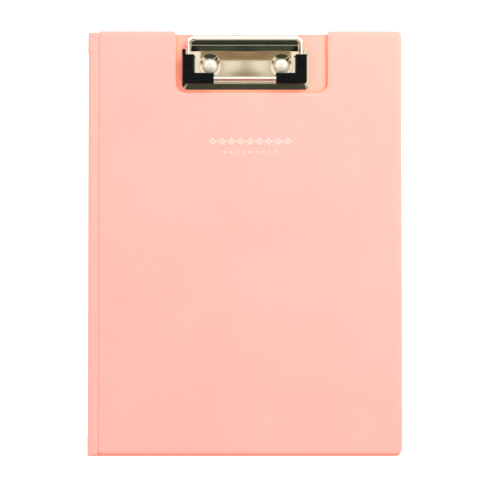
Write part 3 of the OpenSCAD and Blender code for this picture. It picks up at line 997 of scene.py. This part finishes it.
@dataclass
class ClipPlate:
    """Pressed and rolled sheet: bevelled flanges, a scooped deck, rivet dimples, a step and a barrel.

    The broken lines are in millimetres. A rise is a height over a share of its bevel, a tilt is in degrees
    over a place relative to the barrel's axis, a dimple's line is a share of its depth over the distance
    from the rivet, and the neck's line is a height over a place, both relative to the barrel's axis. The
    bends are grid lines as shares of a bevel, and the numbers of lines are those between two bends.
    """

    measures: Measures
    sheet: float = 0.8 * MM
    front_bevel: float = 4.3 * MM
    side_bevel: float = 3.2 * MM
    deck_clear: float = 0.3 * MM
    shoulder: float = 7.0 * MM
    wing_gap: float = 0.3 * MM
    wing_drop: float = 0.9 * MM
    barrel_radius: float = 3.9 * MM
    barrel_half: float = 38.5 * MM
    dimple_depth: float = 1.8 * MM
    dimple_reach: float = 9.8 * MM
    dimple_side: BrokenLine = (
        (5.3, 1.0), (5.5, 0.88), (5.9, 0.34), (6.1, 0.26), (7.9, 0.02), (8.3, 0.0))
    dimple_tail: BrokenLine = ((5.9, 1.0), (6.2, 0.98), (9.6, 0.02), (9.9, 0.0))
    scoop_half: float = 21.5 * MM
    fade_start: float = 31.5 * MM
    fade_end: float = 37.2 * MM
    crown_start: float = 32.5 * MM
    crown_tilt_deg: float = 4.0
    riser_foot: float = -9.4
    front_rise: BrokenLine = (
        (0.0, 0.33), (1.0, 2.62), (1.05, 2.69), (1.09, 2.70), (1.25, 2.565), (1.45, 2.50), (2.2, 2.53),
        (2.6, 2.60), (30.0, 2.60))
    side_rise: BrokenLine = (
        (0.0, 0.65), (1.0, 2.48), (1.16, 2.60), (1.5, 2.60), (2.2, 2.90), (30.0, 2.90))
    scoop_tilts: BrokenLine = (
        (-29.2, 13.0), (-28.3, 12.0), (-24.0, 5.0), (-20.5, 1.6), (-18.0, 0.0), (-16.3, -3.2), (-14.0, -7.5),
        (-11.0, -11.5), (-8.7, -12.6))
    rise_tilts: BrokenLine = ((-18.0, 0.0), (-15.5, -5.0), (-12.0, -5.5), (-8.7, -6.0))
    neck_line: BrokenLine = (
        (-5.50, 0.65), (-5.25, 0.70), (-5.08, 0.66), (-2.61, 2.898), (-2.30, 3.10))
    side_bends: tuple[float, ...] = (1.17, 1.15, 1.01, 0.99, 0.8, 0.6, 0.4, 0.2, 0.0)
    front_bends: tuple[float, ...] = (
        0, 0.15, 0.3, 0.45, 0.6, 0.75, 0.9, 0.98, 1.0, 1.05, 1.09, 1.11, 1.18, 1.25, 1.35, 1.45, 1.5, 1.6, 1.8)
    scoop_share: float = 2.0
    middle_lines: int = 24
    dimple_lines: int = 88
    wing_lines: int = 9
    drop_lines: int = 8
    side_lines: int = 4
    scoop_lines: int = 90
    riser_lines: int = 12
    neck_lines: int = 8

    def __post_init__(self) -> None:
        """Works out the plate's centre and deck, and the wings' reach to the wire, from the frame."""
        m = self.measures
        self.centre_x = (m.plate_low.x + m.plate_high.x) / 2
        self.half_width = (m.plate_high.x - m.plate_low.x) / 2
        self.deck = m.grip_low.z - self.deck_clear
        self.foot = m.plate_low.z
        self.axis = m.clamp_axis
        wire_low, wire_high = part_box("wire_loop")
        wire = wire_high.z - wire_low.z
        self.wing_left = self.centre_x - (wire_low.x + wire) - self.wing_gap
        self.wing_right = (wire_high.x - wire) - self.centre_x - self.wing_gap

    def lines(self) -> tuple[np.ndarray, np.ndarray]:
        """Grid lines across and along the plate, closer together where the sheet bends."""
        bends = self.half_width - self.side_bevel * np.array(self.side_bends)
        low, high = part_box("rivet_right")
        near = (low.x + high.x) / 2 - self.centre_x - self.dimple_reach
        far = near + 2 * self.dimple_reach
        halves = []
        for wing in (self.wing_left, self.wing_right):
            drop = wing - self.wing_drop
            halves.append(np.unique(np.round(np.concatenate([
                np.linspace(0, near, self.middle_lines), np.linspace(near, far, self.dimple_lines),
                np.linspace(far, drop, self.wing_lines), np.linspace(drop, wing, self.drop_lines),
                [wing + 0.05 * MM], np.linspace(wing + 0.3 * MM, bends[0], self.side_lines), bends]), 7)))
        x = np.concatenate([-halves[0][:0:-1], halves[1]])
        front = self.measures.plate_low.y
        foot = self.axis.y + self.riser_foot * MM
        neck = self.axis.y + np.array([dy for dy, _ in self.neck_line]) * MM
        y = np.unique(np.round(np.concatenate([
            front + np.array(self.front_bends) * self.front_bevel,
            np.linspace(front + self.scoop_share * self.front_bevel, foot - 0.03 * MM, self.scoop_lines),
            np.linspace(foot, neck[0] - 0.04 * MM, self.riser_lines), neck, neck[1:3] - 0.03 * MM,
            neck[1:3] + 0.03 * MM, np.linspace(neck[2] + 0.05 * MM, neck[3], self.neck_lines)]), 7))
        return x, y

    def climb(self, y: np.ndarray, tilts: BrokenLine) -> np.ndarray:
        """Height along Y of a strip with the given tilts: minus the running sum of their tangents.

        Args:
            y: places along the page.
            tilts: places relative to the barrel's axis in millimetres, and tilts in degrees that face
                the tail when negative.

        Returns:
            Heights that start at 0 in front of the first place.
        """
        places = self.axis.y + np.array([place for place, _ in tilts]) * MM
        slopes = -np.tan(np.radians([tilt for _, tilt in tilts]))
        fine = np.linspace(places[0], places[-1], 600)
        slope = np.interp(fine, places, slopes)
        total = np.concatenate([[0.0], np.cumsum((slope[1:] + slope[:-1]) / 2 * np.diff(fine))])
        return np.interp(y, fine, total)

    def deck_height(self, x: np.ndarray, y: np.ndarray, front_share: np.ndarray,
                    side_share: np.ndarray) -> np.ndarray:
        """Height of the deck's top: the lower of the front and side bevels, less scoop and dimples.

        Each bevel is a broken line over the distance inward. The scoop and the rise are climbs along Y,
        mixed across X by a raised cosine. A dimple is a broken line over the distance from its rivet,
        which changes to a longer one straight behind it. The crown is a straight fall near the sides.

        Args:
            x: distance from the plate's centre.
            y: place along the page.
            front_share: distance in from the front edge, one at the top of its bevel.
            side_share: distance in from the side edge, one at the top of its bevel.

        Returns:
            Heights in metres.
        """
        front = np.interp(front_share, *np.transpose(self.front_rise)) * MM
        side = np.interp(side_share, *np.transpose(self.side_rise)) * MM
        z = self.foot + np.minimum(front, side)
        scoop = self.climb(y, self.scoop_tilts)
        rise = self.climb(y, self.rise_tilts)
        middle = np.where(np.abs(x) < self.scoop_half, 0.5 + 0.5 * np.cos(np.pi * x / self.scoop_half), 0.0)
        between = smoothstep(self.fade_end, self.fade_start, np.abs(x))
        z = z + between * (rise + (scoop - rise) * middle)
        fall = math.tan(math.radians(self.crown_tilt_deg)) * np.clip(np.abs(x) - self.crown_start, 0, None)
        z = z - fall * smoothstep(0.9, 1.5, side_share) * smoothstep(1.3, 2.2, front_share)
        for name in ("rivet_left", "rivet_right"):
            low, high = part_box(name)
            cx, cy = (low.x + high.x) / 2 - self.centre_x, (low.y + high.y) / 2
            away = np.hypot(x - cx, y - cy)
            behind = smoothstep(0.60, 0.86, (y - cy) / np.maximum(away, 1e-9))
            side = np.interp(away / MM, *np.transpose(self.dimple_side))
            tail = np.interp(away / MM, *np.transpose(self.dimple_tail))
            z = z - (z - (self.deck - self.dimple_depth)) * (side + (tail - side) * behind)
        return z

    def plan(self, x: np.ndarray, y: np.ndarray, front_share: np.ndarray, side_share: np.ndarray,
             wing: np.ndarray) -> tuple[np.ndarray, np.ndarray]:
        """Draws the grid's front corners round, and its rear in to the wings.

        In a front corner the square of grid lines is drawn to a quarter disc: each point moves in to
        its larger coordinate over its distance from the corner's centre.

        Args:
            x: distance from the plate's centre.
            y: place along the page.
            front_share: distance in from the front edge, one at the top of its bevel.
            side_share: distance in from the side edge, one at the top of its bevel.
            wing: distance of the wing's end from the plate's centre.

        Returns:
            The same places after the drawing.
        """
        p, q = np.clip(1 - side_share, 0, 1), np.clip(1 - front_share, 0, 1)
        pull = np.maximum(p, q) / np.maximum(np.hypot(p, q), 1e-9)
        pull = np.where((p > 0) & (q > 0), pull, 1.0)
        plan_x = np.sign(x) * (np.abs(x) + self.side_bevel * p * (pull - 1))
        plan_y = y - self.front_bevel * q * (pull - 1)
        squeeze = smoothstep(self.axis.y - self.shoulder + 0.2 * MM, self.axis.y - self.shoulder, y)
        beyond = np.clip(np.abs(plan_x) - wing, 0, None)
        return np.sign(plan_x) * (np.abs(plan_x) - beyond * (1 - squeeze) * 0.995), plan_y

    def pressed_sheet(self) -> Shell:
        """Closed shell of the pressed sheet: its top, and its underside one sheet thickness below.

        Behind the deck the top climbs straight to a ridge, then follows the neck's broken line to the
        barrel.

        Returns:
            Points and faces.
        """
        across, along = self.lines()
        x, y = np.meshgrid(across, along)
        side_share = (self.half_width - np.abs(x)) / self.side_bevel
        front_share = (y - self.measures.plate_low.y) / self.front_bevel
        wing = np.where(x < 0, self.wing_left, self.wing_right)
        plan_x, plan_y = self.plan(x, y, front_share, side_share, wing)
        foot = self.axis.y + self.riser_foot * MM
        z = self.deck_height(plan_x, np.minimum(plan_y, foot), front_share, side_share)
        neck_y, neck_z = np.transpose(self.neck_line) * MM
        climb = np.interp(plan_y, [foot, self.axis.y + neck_y[0]], [0.0, 1.0])
        ridge = np.interp(plan_y, self.axis.y + neck_y, self.axis.z + neck_z)
        raised = z + (ridge - z) * climb
        hold = smoothstep(0.0, 1.0, np.clip((wing - np.abs(plan_x)) / self.wing_drop, 0, 1))
        z = z + (raised - z) * hold
        top = np.stack([plan_x + self.centre_x, plan_y, z], axis=-1)
        normal = np.cross(np.gradient(top, axis=1), np.gradient(top, axis=0))
        normal /= np.maximum(np.linalg.norm(normal, axis=-1, keepdims=True), 1e-12)
        normal *= np.sign(normal[..., 2:3] + 1e-12)
        under = top - self.sheet * normal
        under[..., 2] = np.maximum(np.minimum(under[..., 2], z - 0.05 * MM), self.foot)
        return np.stack([top, under]), self.wrap(*z.shape)

    @staticmethod
    def wrap(rows: int, columns: int) -> Faces:
        """Faces of two equal grids of points, one over the other, and of the wall round their border.

        Args:
            rows: rows of points in each grid.
            columns: points in each row.

        Returns:
            The faces.
        """
        k, i = np.meshgrid(np.arange(rows - 1), np.arange(columns - 1), indexing="ij")
        quads = np.stack([k * columns + i, k * columns + i + 1, (k + 1) * columns + i + 1,
                          (k + 1) * columns + i], axis=-1).reshape(-1, 4)
        lower = quads[:, ::-1] + rows * columns
        grid = np.arange(rows * columns).reshape(rows, columns)
        border = np.concatenate([grid[0, :-1], grid[:-1, -1], grid[-1, :0:-1], grid[:0:-1, 0]])
        after = np.roll(border, -1)
        wall = np.stack([border, border + rows * columns, after + rows * columns, after], axis=-1)
        return [tuple(f) for f in np.vstack([quads, lower, wall]).tolist()]

    def barrel(self) -> Shell:
        """Closed shell of the rolled barrel: a tube with softly rounded rims."""
        outer, inner, half = self.barrel_radius, self.barrel_radius - self.sheet, self.barrel_half
        rim = self.sheet / 2
        right = arc(half - rim, outer - rim, rim, 90, -90, 9)
        left = arc(-half + rim, outer - rim, rim, 270, 90, 9)
        profile = np.vstack([right, left])
        profile[:, 1] = np.clip(profile[:, 1], inner, outer)
        return revolved_shell(profile, Vector((self.centre_x, self.axis.y, self.axis.z)), "x", 128)

    def build(self, palette: Palette) -> None:
        """Makes the pressed plate, and the barrel that its rear is rolled into.

        Args:
            palette: the finishes.
        """
        plate = solid("clip_pressed_plate", [self.pressed_sheet()], sharp_deg=62)
        ride(dress(plate, palette.plate), Body.BACK, "nickel_plate", "clip_base_plate")
        barrel = solid("clip_rolled_barrel", [self.barrel()], sharp_deg=50)
        ride(dress(barrel, palette.plate), Body.BACK, "nickel_plate", "clip_base_plate")
        Studio.aim_card(barrel)


@dataclass
class Rivet:
    """Low domed rivet: a spherical cap on a thin rim, a shank and a spread tail."""

    node: str
    rim: float = 0.3 * MM
    softening: float = 0.12 * MM
    head_height: float = 1.6 * MM
    shank: float = 2.0 * MM
    tail: float = 3.5 * MM
    tail_height: float = 0.45 * MM

    def build(self, palette: Palette) -> None:
        """Makes the rivet as a turned profile.

        Args:
            palette: the finishes.
        """
        low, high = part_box(self.node)
        radius = (high.x - low.x) / 2
        cap = self.head_height - self.rim
        ball = (radius ** 2 + cap ** 2) / (2 * cap)
        reach = np.degrees(math.asin(radius / ball))
        dome = arc(0.0, high.z - ball, ball, 90, 90 - reach, 24)
        dome = np.column_stack([dome[:, 1], dome[:, 0]])
        base = high.z - self.head_height
        rest = np.array([[base + self.softening, radius], [base, radius - self.softening], [base, self.shank],
                         [low.z + self.tail_height, self.shank], [low.z + self.tail_height, self.tail],
                         [low.z, self.tail], [low.z, 0.0]])
        dome[0, 1] = 0.0
        centre = Vector(((low.x + high.x) / 2, (low.y + high.y) / 2, 0.0))
        turned = revolved_shell(np.vstack([dome, rest]), centre, "z", 64)
        piece = solid(f"{self.node}_head", [turned], sharp_deg=35)
        ride(dress(piece, palette.rivet), Body.BACK, "nickel_rivet", self.node)


# ------------------------------------------------------------------ clamp


@dataclass
class WireLoop:
    """Closed loop of round wire with four round bends."""

    bend: float = 4.2 * MM
    segments: int = 32

    def build(self, palette: Palette) -> None:
        """Carries a circle along the loop: centre plus radius along the normal and along Z.

        Args:
            palette: the finishes.
        """
        low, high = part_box("wire_loop")
        radius = (high.z - low.z) / 2
        x0, y0, x1, y1 = low.x + radius, low.y + radius, high.x - radius, high.y - radius
        loop = Outline([Corner(x, y, self.bend) for x, y in ((x0, y0), (x1, y0), (x1, y1), (x0, y1))],
                       arc_points=20, step=3 * MM)
        path, outward = loop.ring()
        turn = np.linspace(0, 2 * math.pi, self.segments, endpoint=False)
        side = radius * np.cos(turn)
        lift = radius * np.sin(turn) + (low.z + high.z) / 2
        plan = path[:, None, :] + side[None, :, None] * outward[:, None, :]
        rings = np.concatenate([plan, np.broadcast_to(lift[None, :, None], (*plan.shape[:2], 1))], axis=-1)
        piece = solid("wire_bail", [(rings, ring_faces(len(path), self.segments, close_rows=True))])
        ride(dress(piece, palette.wire), Body.CLAMP, "nickel_wire", "wire_loop")
        Studio.aim_card(piece)


@dataclass
class RubberCorner:
    """Moulded rubber corner: two legs with rounded edges, ribs towards each open end, and end lips."""

    node: str
    mirrored: bool
    leg: float = 8.2 * MM
    outer_radius: float = 2.4 * MM
    inner_radius: float = 1.4 * MM
    end_radius: float = 0.8 * MM
    edge: float = 1.2 * MM
    cap_rim: float = 0.2 * MM
    lip_radius: float = 0.4 * MM
    ribs: int = 5
    rib_length: float = 9.5 * MM
    rib_proud: float = 0.45 * MM
    lip_length: float = 1.1 * MM
    lip_proud: float = 0.28 * MM

    def corner_shell(self, size_x: float, size_y: float, height: float) -> Shell:
        """The L-shaped block, with its outer corner at the origin of its own plan.

        Args:
            size_x: length of the leg along X.
            size_y: length of the leg along Y.
            height: height of the block.

        Returns:
            Points and faces.
        """
        plan = Outline([Corner(0, 0, self.outer_radius), Corner(size_x, 0, self.end_radius),
                        Corner(size_x, self.leg, self.end_radius),
                        Corner(self.leg, self.leg, self.inner_radius, hollow=True),
                        Corner(self.leg, size_y, self.end_radius), Corner(0, size_y, self.end_radius)],
                       arc_points=8, step=3 * MM)
        turn = np.radians(np.linspace(0, 90, 7))
        lower = [(self.edge * (1 - math.sin(a)), self.edge * (1 - math.cos(a))) for a in turn]
        upper = [(inset, height - z) for inset, z in lower[::-1]]
        inner = self.edge + self.cap_rim
        return slab_shell(plan, [(inner, 0.0)] + lower + upper + [(inner, height)])

    def rib_shells(self, size_x: float, size_y: float, height: float) -> list[Shell]:
        """Rounded ribs along both legs, on top and sunk half into the block.

        Args:
            size_x: length of the leg along X.
            size_y: length of the leg along Y.
            height: height of the block.

        Returns:
            Points and faces of each rib.
        """
        offsets = (np.arange(self.ribs) - (self.ribs - 1) / 2) * (self.leg - 2.4 * MM) / (self.ribs - 1)
        stations = np.linspace(-1, 1, 17)
        swell = np.sqrt(np.maximum(1 - np.abs(stations) ** 8, 0.0)) * 0.98 + 0.02
        turn = np.linspace(0, 2 * math.pi, 12, endpoint=False)
        across = 0.5 * MM * np.cos(turn)[None, :] * swell[:, None]
        lift = height - 0.05 * MM + self.rib_proud * np.sin(turn)[None, :] * swell[:, None]
        shells = []
        for offset in offsets:
            run = self.rib_length / 2 * stations[:, None] + np.zeros((17, 12))
            side = self.leg / 2 + offset + across
            end = self.rib_length / 2 + self.lip_length + 0.2 * MM
            shells.append(ring_shell(np.stack([size_x - end + run, side, lift], axis=-1)))
            shells.append(ring_shell(np.stack([side, size_y - end + run, lift], axis=-1)))
        return shells

    def lip_shells(self, size_x: float, size_y: float, height: float) -> list[Shell]:
        """Thin raised lips round both open ends.

        Args:
            size_x: length of the leg along X.
            size_y: length of the leg along Y.
            height: height of the block.

        Returns:
            Points and faces of each lip.
        """
        proud, length = self.lip_proud, self.lip_length
        shells = []
        for x0, y0, x1, y1 in ((size_x - length, -proud, size_x, self.leg + proud),
                               (-proud, size_y - length, self.leg + proud, size_y)):
            plan = Outline([Corner(x, y, self.lip_radius) for x, y in ((x0, y0), (x1, y0), (x1, y1), (x0, y1))],
                           arc_points=6, step=3 * MM)
            top = height + proud
            shells.append(slab_shell(plan, [(0.4 * MM, 0.35 * MM), (0.1 * MM, 0.5 * MM), (0.0, 0.9 * MM),
                                            (0.0, top - 0.5 * MM), (0.12 * MM, top - 0.15 * MM),
                                            (0.42 * MM, top)]))
        return shells

    def build(self, palette: Palette) -> None:
        """Makes the corner in its own plan and sets it in place, mirrored on the opening side.

        Args:
            palette: the finishes.
        """
        low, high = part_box(self.node)
        size_x, size_y, height = high.x - low.x, high.y - low.y, high.z - low.z
        shells = [self.corner_shell(size_x, size_y, height)]
        shells += self.rib_shells(size_x, size_y, height) + self.lip_shells(size_x, size_y, height)
        placed = []
        for points, faces in shells:
            local = points.reshape(-1, 3)
            x = high.x - local[:, 0] if self.mirrored else low.x + local[:, 0]
            placed.append((np.column_stack([x, low.y + local[:, 1], low.z + local[:, 2]]), faces))
        piece = solid(f"{self.node}_grip", placed)
        ride(dress(piece, palette.rubber), Body.CLAMP, "black_rubber", self.node)


# ------------------------------------------------------------------ carried-over nodes


def dress_cad_nodes(palette: Palette) -> None:
    """Gives every CAD node that is carried over its own finish.

    Args:
        palette: the finishes.
    """
    finishes = {
        "back_board": palette.board, "back_lining": palette.lining, "rivet_washers": palette.rivet,
        "barrel_bush_left": palette.nylon, "barrel_bush_right": palette.nylon,
        "torsion_spring_left": palette.spring, "torsion_spring_right": palette.spring,
        "spine_stiffener": palette.board, "spine_lining": palette.lining, "cover_board": palette.board,
        "cover_lining": palette.lining, "cover_pocket": palette.lining, "foil_mark": palette.foil}
    for node, material in finishes.items():
        dress(frame["nodes"][node], material)
        LOG.info("%s: CAD mesh, %s", node, material.name)


# ------------------------------------------------------------------ studio


@dataclass
class Studio:
    """Pale floor, soft sky and lights, and the camera above the page."""

    BANDS: ClassVar[Stops] = (
        (-1.0, (0.010, 0.014, 0.012)), (-0.93, (0.045, 0.055, 0.034)), (-0.80, (0.045, 0.045, 0.022)),
        (-0.745, (0.045, 0.045, 0.027)), (-0.70, (0.36, 0.32, 0.25)), (-0.66, (0.46, 0.41, 0.32)),
        (-0.46, (0.44, 0.37, 0.26)), (-0.34, (0.36, 0.235, 0.13)), (-0.12, (0.26, 0.165, 0.08)),
        (-0.03, (0.32, 0.215, 0.115)), (0.055, (0.93, 0.83, 0.66)), (0.35, (0.97, 0.88, 0.72)),
        (0.62, (1.0, 0.98, 0.94)), (1.0, (1.0, 1.0, 1.0)))
    CORE: ClassVar[Stops] = (
        (0.04, (0.56, 0.48, 0.33)), (0.16, (0.60, 0.52, 0.36)), (0.30, (0.43, 0.345, 0.23)),
        (0.50, (0.25, 0.18, 0.11)), (0.60, (0.9, 0.88, 0.84)))
    DARK_SIDE: ClassVar[tuple[float, ...]] = (0.008, 0.011, 0.012, 1.0)
    PALE_SIDE: ClassVar[tuple[float, ...]] = (0.80, 0.71, 0.54, 1.0)

    target: Triple = (3.9 * MM, -5.3 * MM, 6.3 * MM)
    distance: float = 1.493
    lean_deg: float = 1.83
    focal_mm: float = 144.0
    floor_drop: float = 3.45 * MM
    floor_size: float = 12.0
    floor_glow: float = 0.67
    mirror_strength: float = 1.08
    even_strength: float = 1.20
    head_light: tuple[Triple, float, float] = ((0.46, 0.66, 0.62), 0.6, 9.9)
    clip_card: tuple[Triple, float, float] = ((0.0, 0.28, 1.6), 1.9, 10.5)

    @staticmethod
    def ramp(sheet: NodeSheet, factor: Socket, stops: Stops) -> Socket:
        """Colour ramp over one part of a direction.

        Args:
            sheet: sheet of the world.
            factor: the part, from -1 to 1.
            stops: parts and colours, in rising order.

        Returns:
            The colour.
        """
        placed = sheet.add("ShaderNodeMapRange", {"From Min": -1.0, "From Max": 1.0, "Value": factor})
        node = sheet.add("ShaderNodeValToRGB", {"Fac": placed.outputs["Result"]})
        elements = node.color_ramp.elements
        elements.remove(elements[1])
        for i, (share, colour) in enumerate(stops):
            element = elements[0] if i == 0 else elements.new((share + 1) / 2)
            element.position = (share + 1) / 2
            element.color = (*colour, 1.0)
        return node.outputs["Color"]

    def step(self, sheet: NodeSheet, value: Socket, low: float, high: float) -> Socket:
        """Smooth step from 0 at low to 1 at high.

        Args:
            sheet: sheet of the world.
            value: what is stepped.
            low: where the step is 0; it may lie above high.
            high: where the step is 1.

        Returns:
            The step.
        """
        if low > high:
            return sheet.math("SUBTRACT", 1.0, self.step(sheet, value, high, low))
        node = sheet.add("ShaderNodeMapRange", {"From Min": low, "From Max": high, "Value": value},
                         interpolation_type="SMOOTHSTEP")
        return node.outputs["Result"]

    @staticmethod
    def mix(sheet: NodeSheet, factor: Socket, first: Socket, second: object) -> Socket:
        """Mix of a colour and a second one, which is a socket or fixed, by a factor."""
        values = {"Factor": factor, "A": first, "B": second}
        return sheet.add("ShaderNodeMix", values, data_type="RGBA").outputs["Result"]

    def sky(self) -> None:
        """World of soft bands that only reflections see, with even light and a plain backdrop.

        Reflections see the bands as a ramp over the direction's Y part, with a darker core near the
        middle of its X part, and one dark and one pale side. Matt surfaces are lit by an even sky, and
        the camera sees plain white.
        """
        world = bpy.data.worlds.new("studio_sky")
        bpy.context.scene.world = world
        world.use_nodes = True
        world.node_tree.nodes.clear()
        sheet = NodeSheet(world.node_tree)
        place = sheet.add("ShaderNodeTexCoord")
        split = sheet.add("ShaderNodeSeparateXYZ", {0: place.outputs["Generated"]})
        across, along = split.outputs["X"], split.outputs["Y"]
        bands = self.ramp(sheet, along, self.BANDS)
        core = self.ramp(sheet, along, self.CORE)
        widen = sheet.math("ADD", sheet.math("MULTIPLY", self.step(sheet, along, 0.10, 0.40), 0.9), 1.0)
        side = sheet.math("DIVIDE", sheet.math("ABSOLUTE", across), widen)
        inside = sheet.math("MULTIPLY", self.step(sheet, side, 0.20, 0.0), self.step(sheet, along, -0.03, 0.05))
        colour = self.mix(sheet, inside, bands, core)
        colour = self.mix(sheet, self.step(sheet, across, -0.66, -0.78), colour, self.DARK_SIDE)
        colour = self.mix(sheet, self.step(sheet, across, 0.62, 0.80), colour, self.PALE_SIDE)
        mirror = sheet.add("ShaderNodeBackground", {"Strength": self.mirror_strength, "Color": colour})
        even = sheet.add("ShaderNodeBackground", {"Strength": self.even_strength, "Color": WHITE})
        plain = sheet.add("ShaderNodeBackground", {"Strength": 1.0, "Color": WHITE})
        path = sheet.add("ShaderNodeLightPath")
        lit = sheet.add("ShaderNodeMixShader", {
            0: path.outputs["Is Glossy Ray"], 1: even.outputs[0], 2: mirror.outputs[0]})
        seen = sheet.add("ShaderNodeMixShader", {
            0: path.outputs["Is Camera Ray"], 1: lit.outputs[0], 2: plain.outputs[0]})
        sheet.add("ShaderNodeOutputWorld", {"Surface": seen.outputs[0]})

    def floor(self) -> None:
        """Pale floor, low enough for the cover to lie folded behind the back."""
        half = self.floor_size / 2
        plan = ((-half, -half), (half, -half), (half, half), (-half, half))
        corners = [(x, y, -self.floor_drop) for x, y in plan]
        mesh = bpy.data.meshes.new("floor")
        mesh.from_pydata(corners, [], [(0, 1, 2, 3)])
        floor = bpy.data.objects.new("floor", mesh)
        bpy.context.scene.collection.objects.link(floor)
        material = bpy.data.materials.new("pale_floor")
        material.use_nodes = True
        shader = material.node_tree.nodes["Principled BSDF"]
        for key, value in (("Base Color", (0.93, 0.93, 0.935, 1.0)), ("Roughness", 0.9),
                           ("Specular IOR Level", 0.0), ("Emission Color", WHITE),
                           ("Emission Strength", self.floor_glow)):
            shader.inputs[key].default_value = value
        dress(floor, material)

    def lamp(self, name: str, place: Triple, size: float, power: float, mirrored: bool = False) -> None:
        """Square area light that looks at the target.

        Args:
            name: name of the light.
            place: where it stands, in metres.
            size: length of its side.
            power: power in watts.
            mirrored: it is seen in reflections too.
        """
        data = bpy.data.lights.new(name, "AREA")
        data.size = size
        data.energy = power
        lamp = bpy.data.objects.new(name, data)
        lamp.location = place
        aim = Vector(self.target) - Vector(place)
        lamp.rotation_euler = aim.to_track_quat("-Z", "Y").to_euler()
        lamp.visible_glossy = mirrored
        bpy.context.scene.collection.objects.link(lamp)

    @staticmethod
    def aim_card(*pieces: bpy.types.Object) -> None:
        """Adds pieces to those that the white card over the clip lights."""
        card = bpy.data.objects["clip_card"].light_linking
        if card.receiver_collection is None:
            card.receiver_collection = bpy.data.collections.new("clip_card_receivers")
        for piece in pieces:
            card.receiver_collection.objects.link(piece)

    def camera(self) -> None:
        """Long lens above the page, leaning a little towards its tail."""
        data = bpy.data.cameras.new("camera")
        data.lens = self.focal_mm
        data.sensor_width = 36.0
        data.clip_end = 50.0
        camera = bpy.data.objects.new("camera", data)
        lean = math.radians(self.lean_deg)
        camera.location = Vector(self.target) + self.distance * Vector((0.0, -math.sin(lean), math.cos(lean)))
        camera.rotation_euler = (lean, 0.0, 0.0)
        bpy.context.scene.collection.objects.link(camera)
        bpy.context.scene.camera = camera

    def build(self) -> None:
        """Sets the whole studio."""
        bpy.context.scene.view_settings.view_transform = "Standard"
        self.sky()
        self.floor()
        self.lamp("head_light", *self.head_light)
        self.lamp("clip_card", *self.clip_card, mirrored=True)
        self.camera()


def main() -> None:
    """Sets the studio, then builds every piece in order."""
    logging.basicConfig(level=logging.INFO, format="%(message)s")
    palette = Palette()
    measures = Measures()
    Studio().build()
    CoverSkin(measures).build(palette)
    BackSkin(measures).build(palette)
    SpineSkins(measures).build(palette)
    ClipPlate(measures).build(palette)
    for node in ("rivet_left", "rivet_right"):
        Rivet(node).build(palette)
    WireLoop().build(palette)
    RubberCorner("rubber_corner_left", mirrored=False).build(palette)
    RubberCorner("rubber_corner_right", mirrored=True).build(palette)
    dress_cad_nodes(palette)


if __name__ == "__main__":
    main()
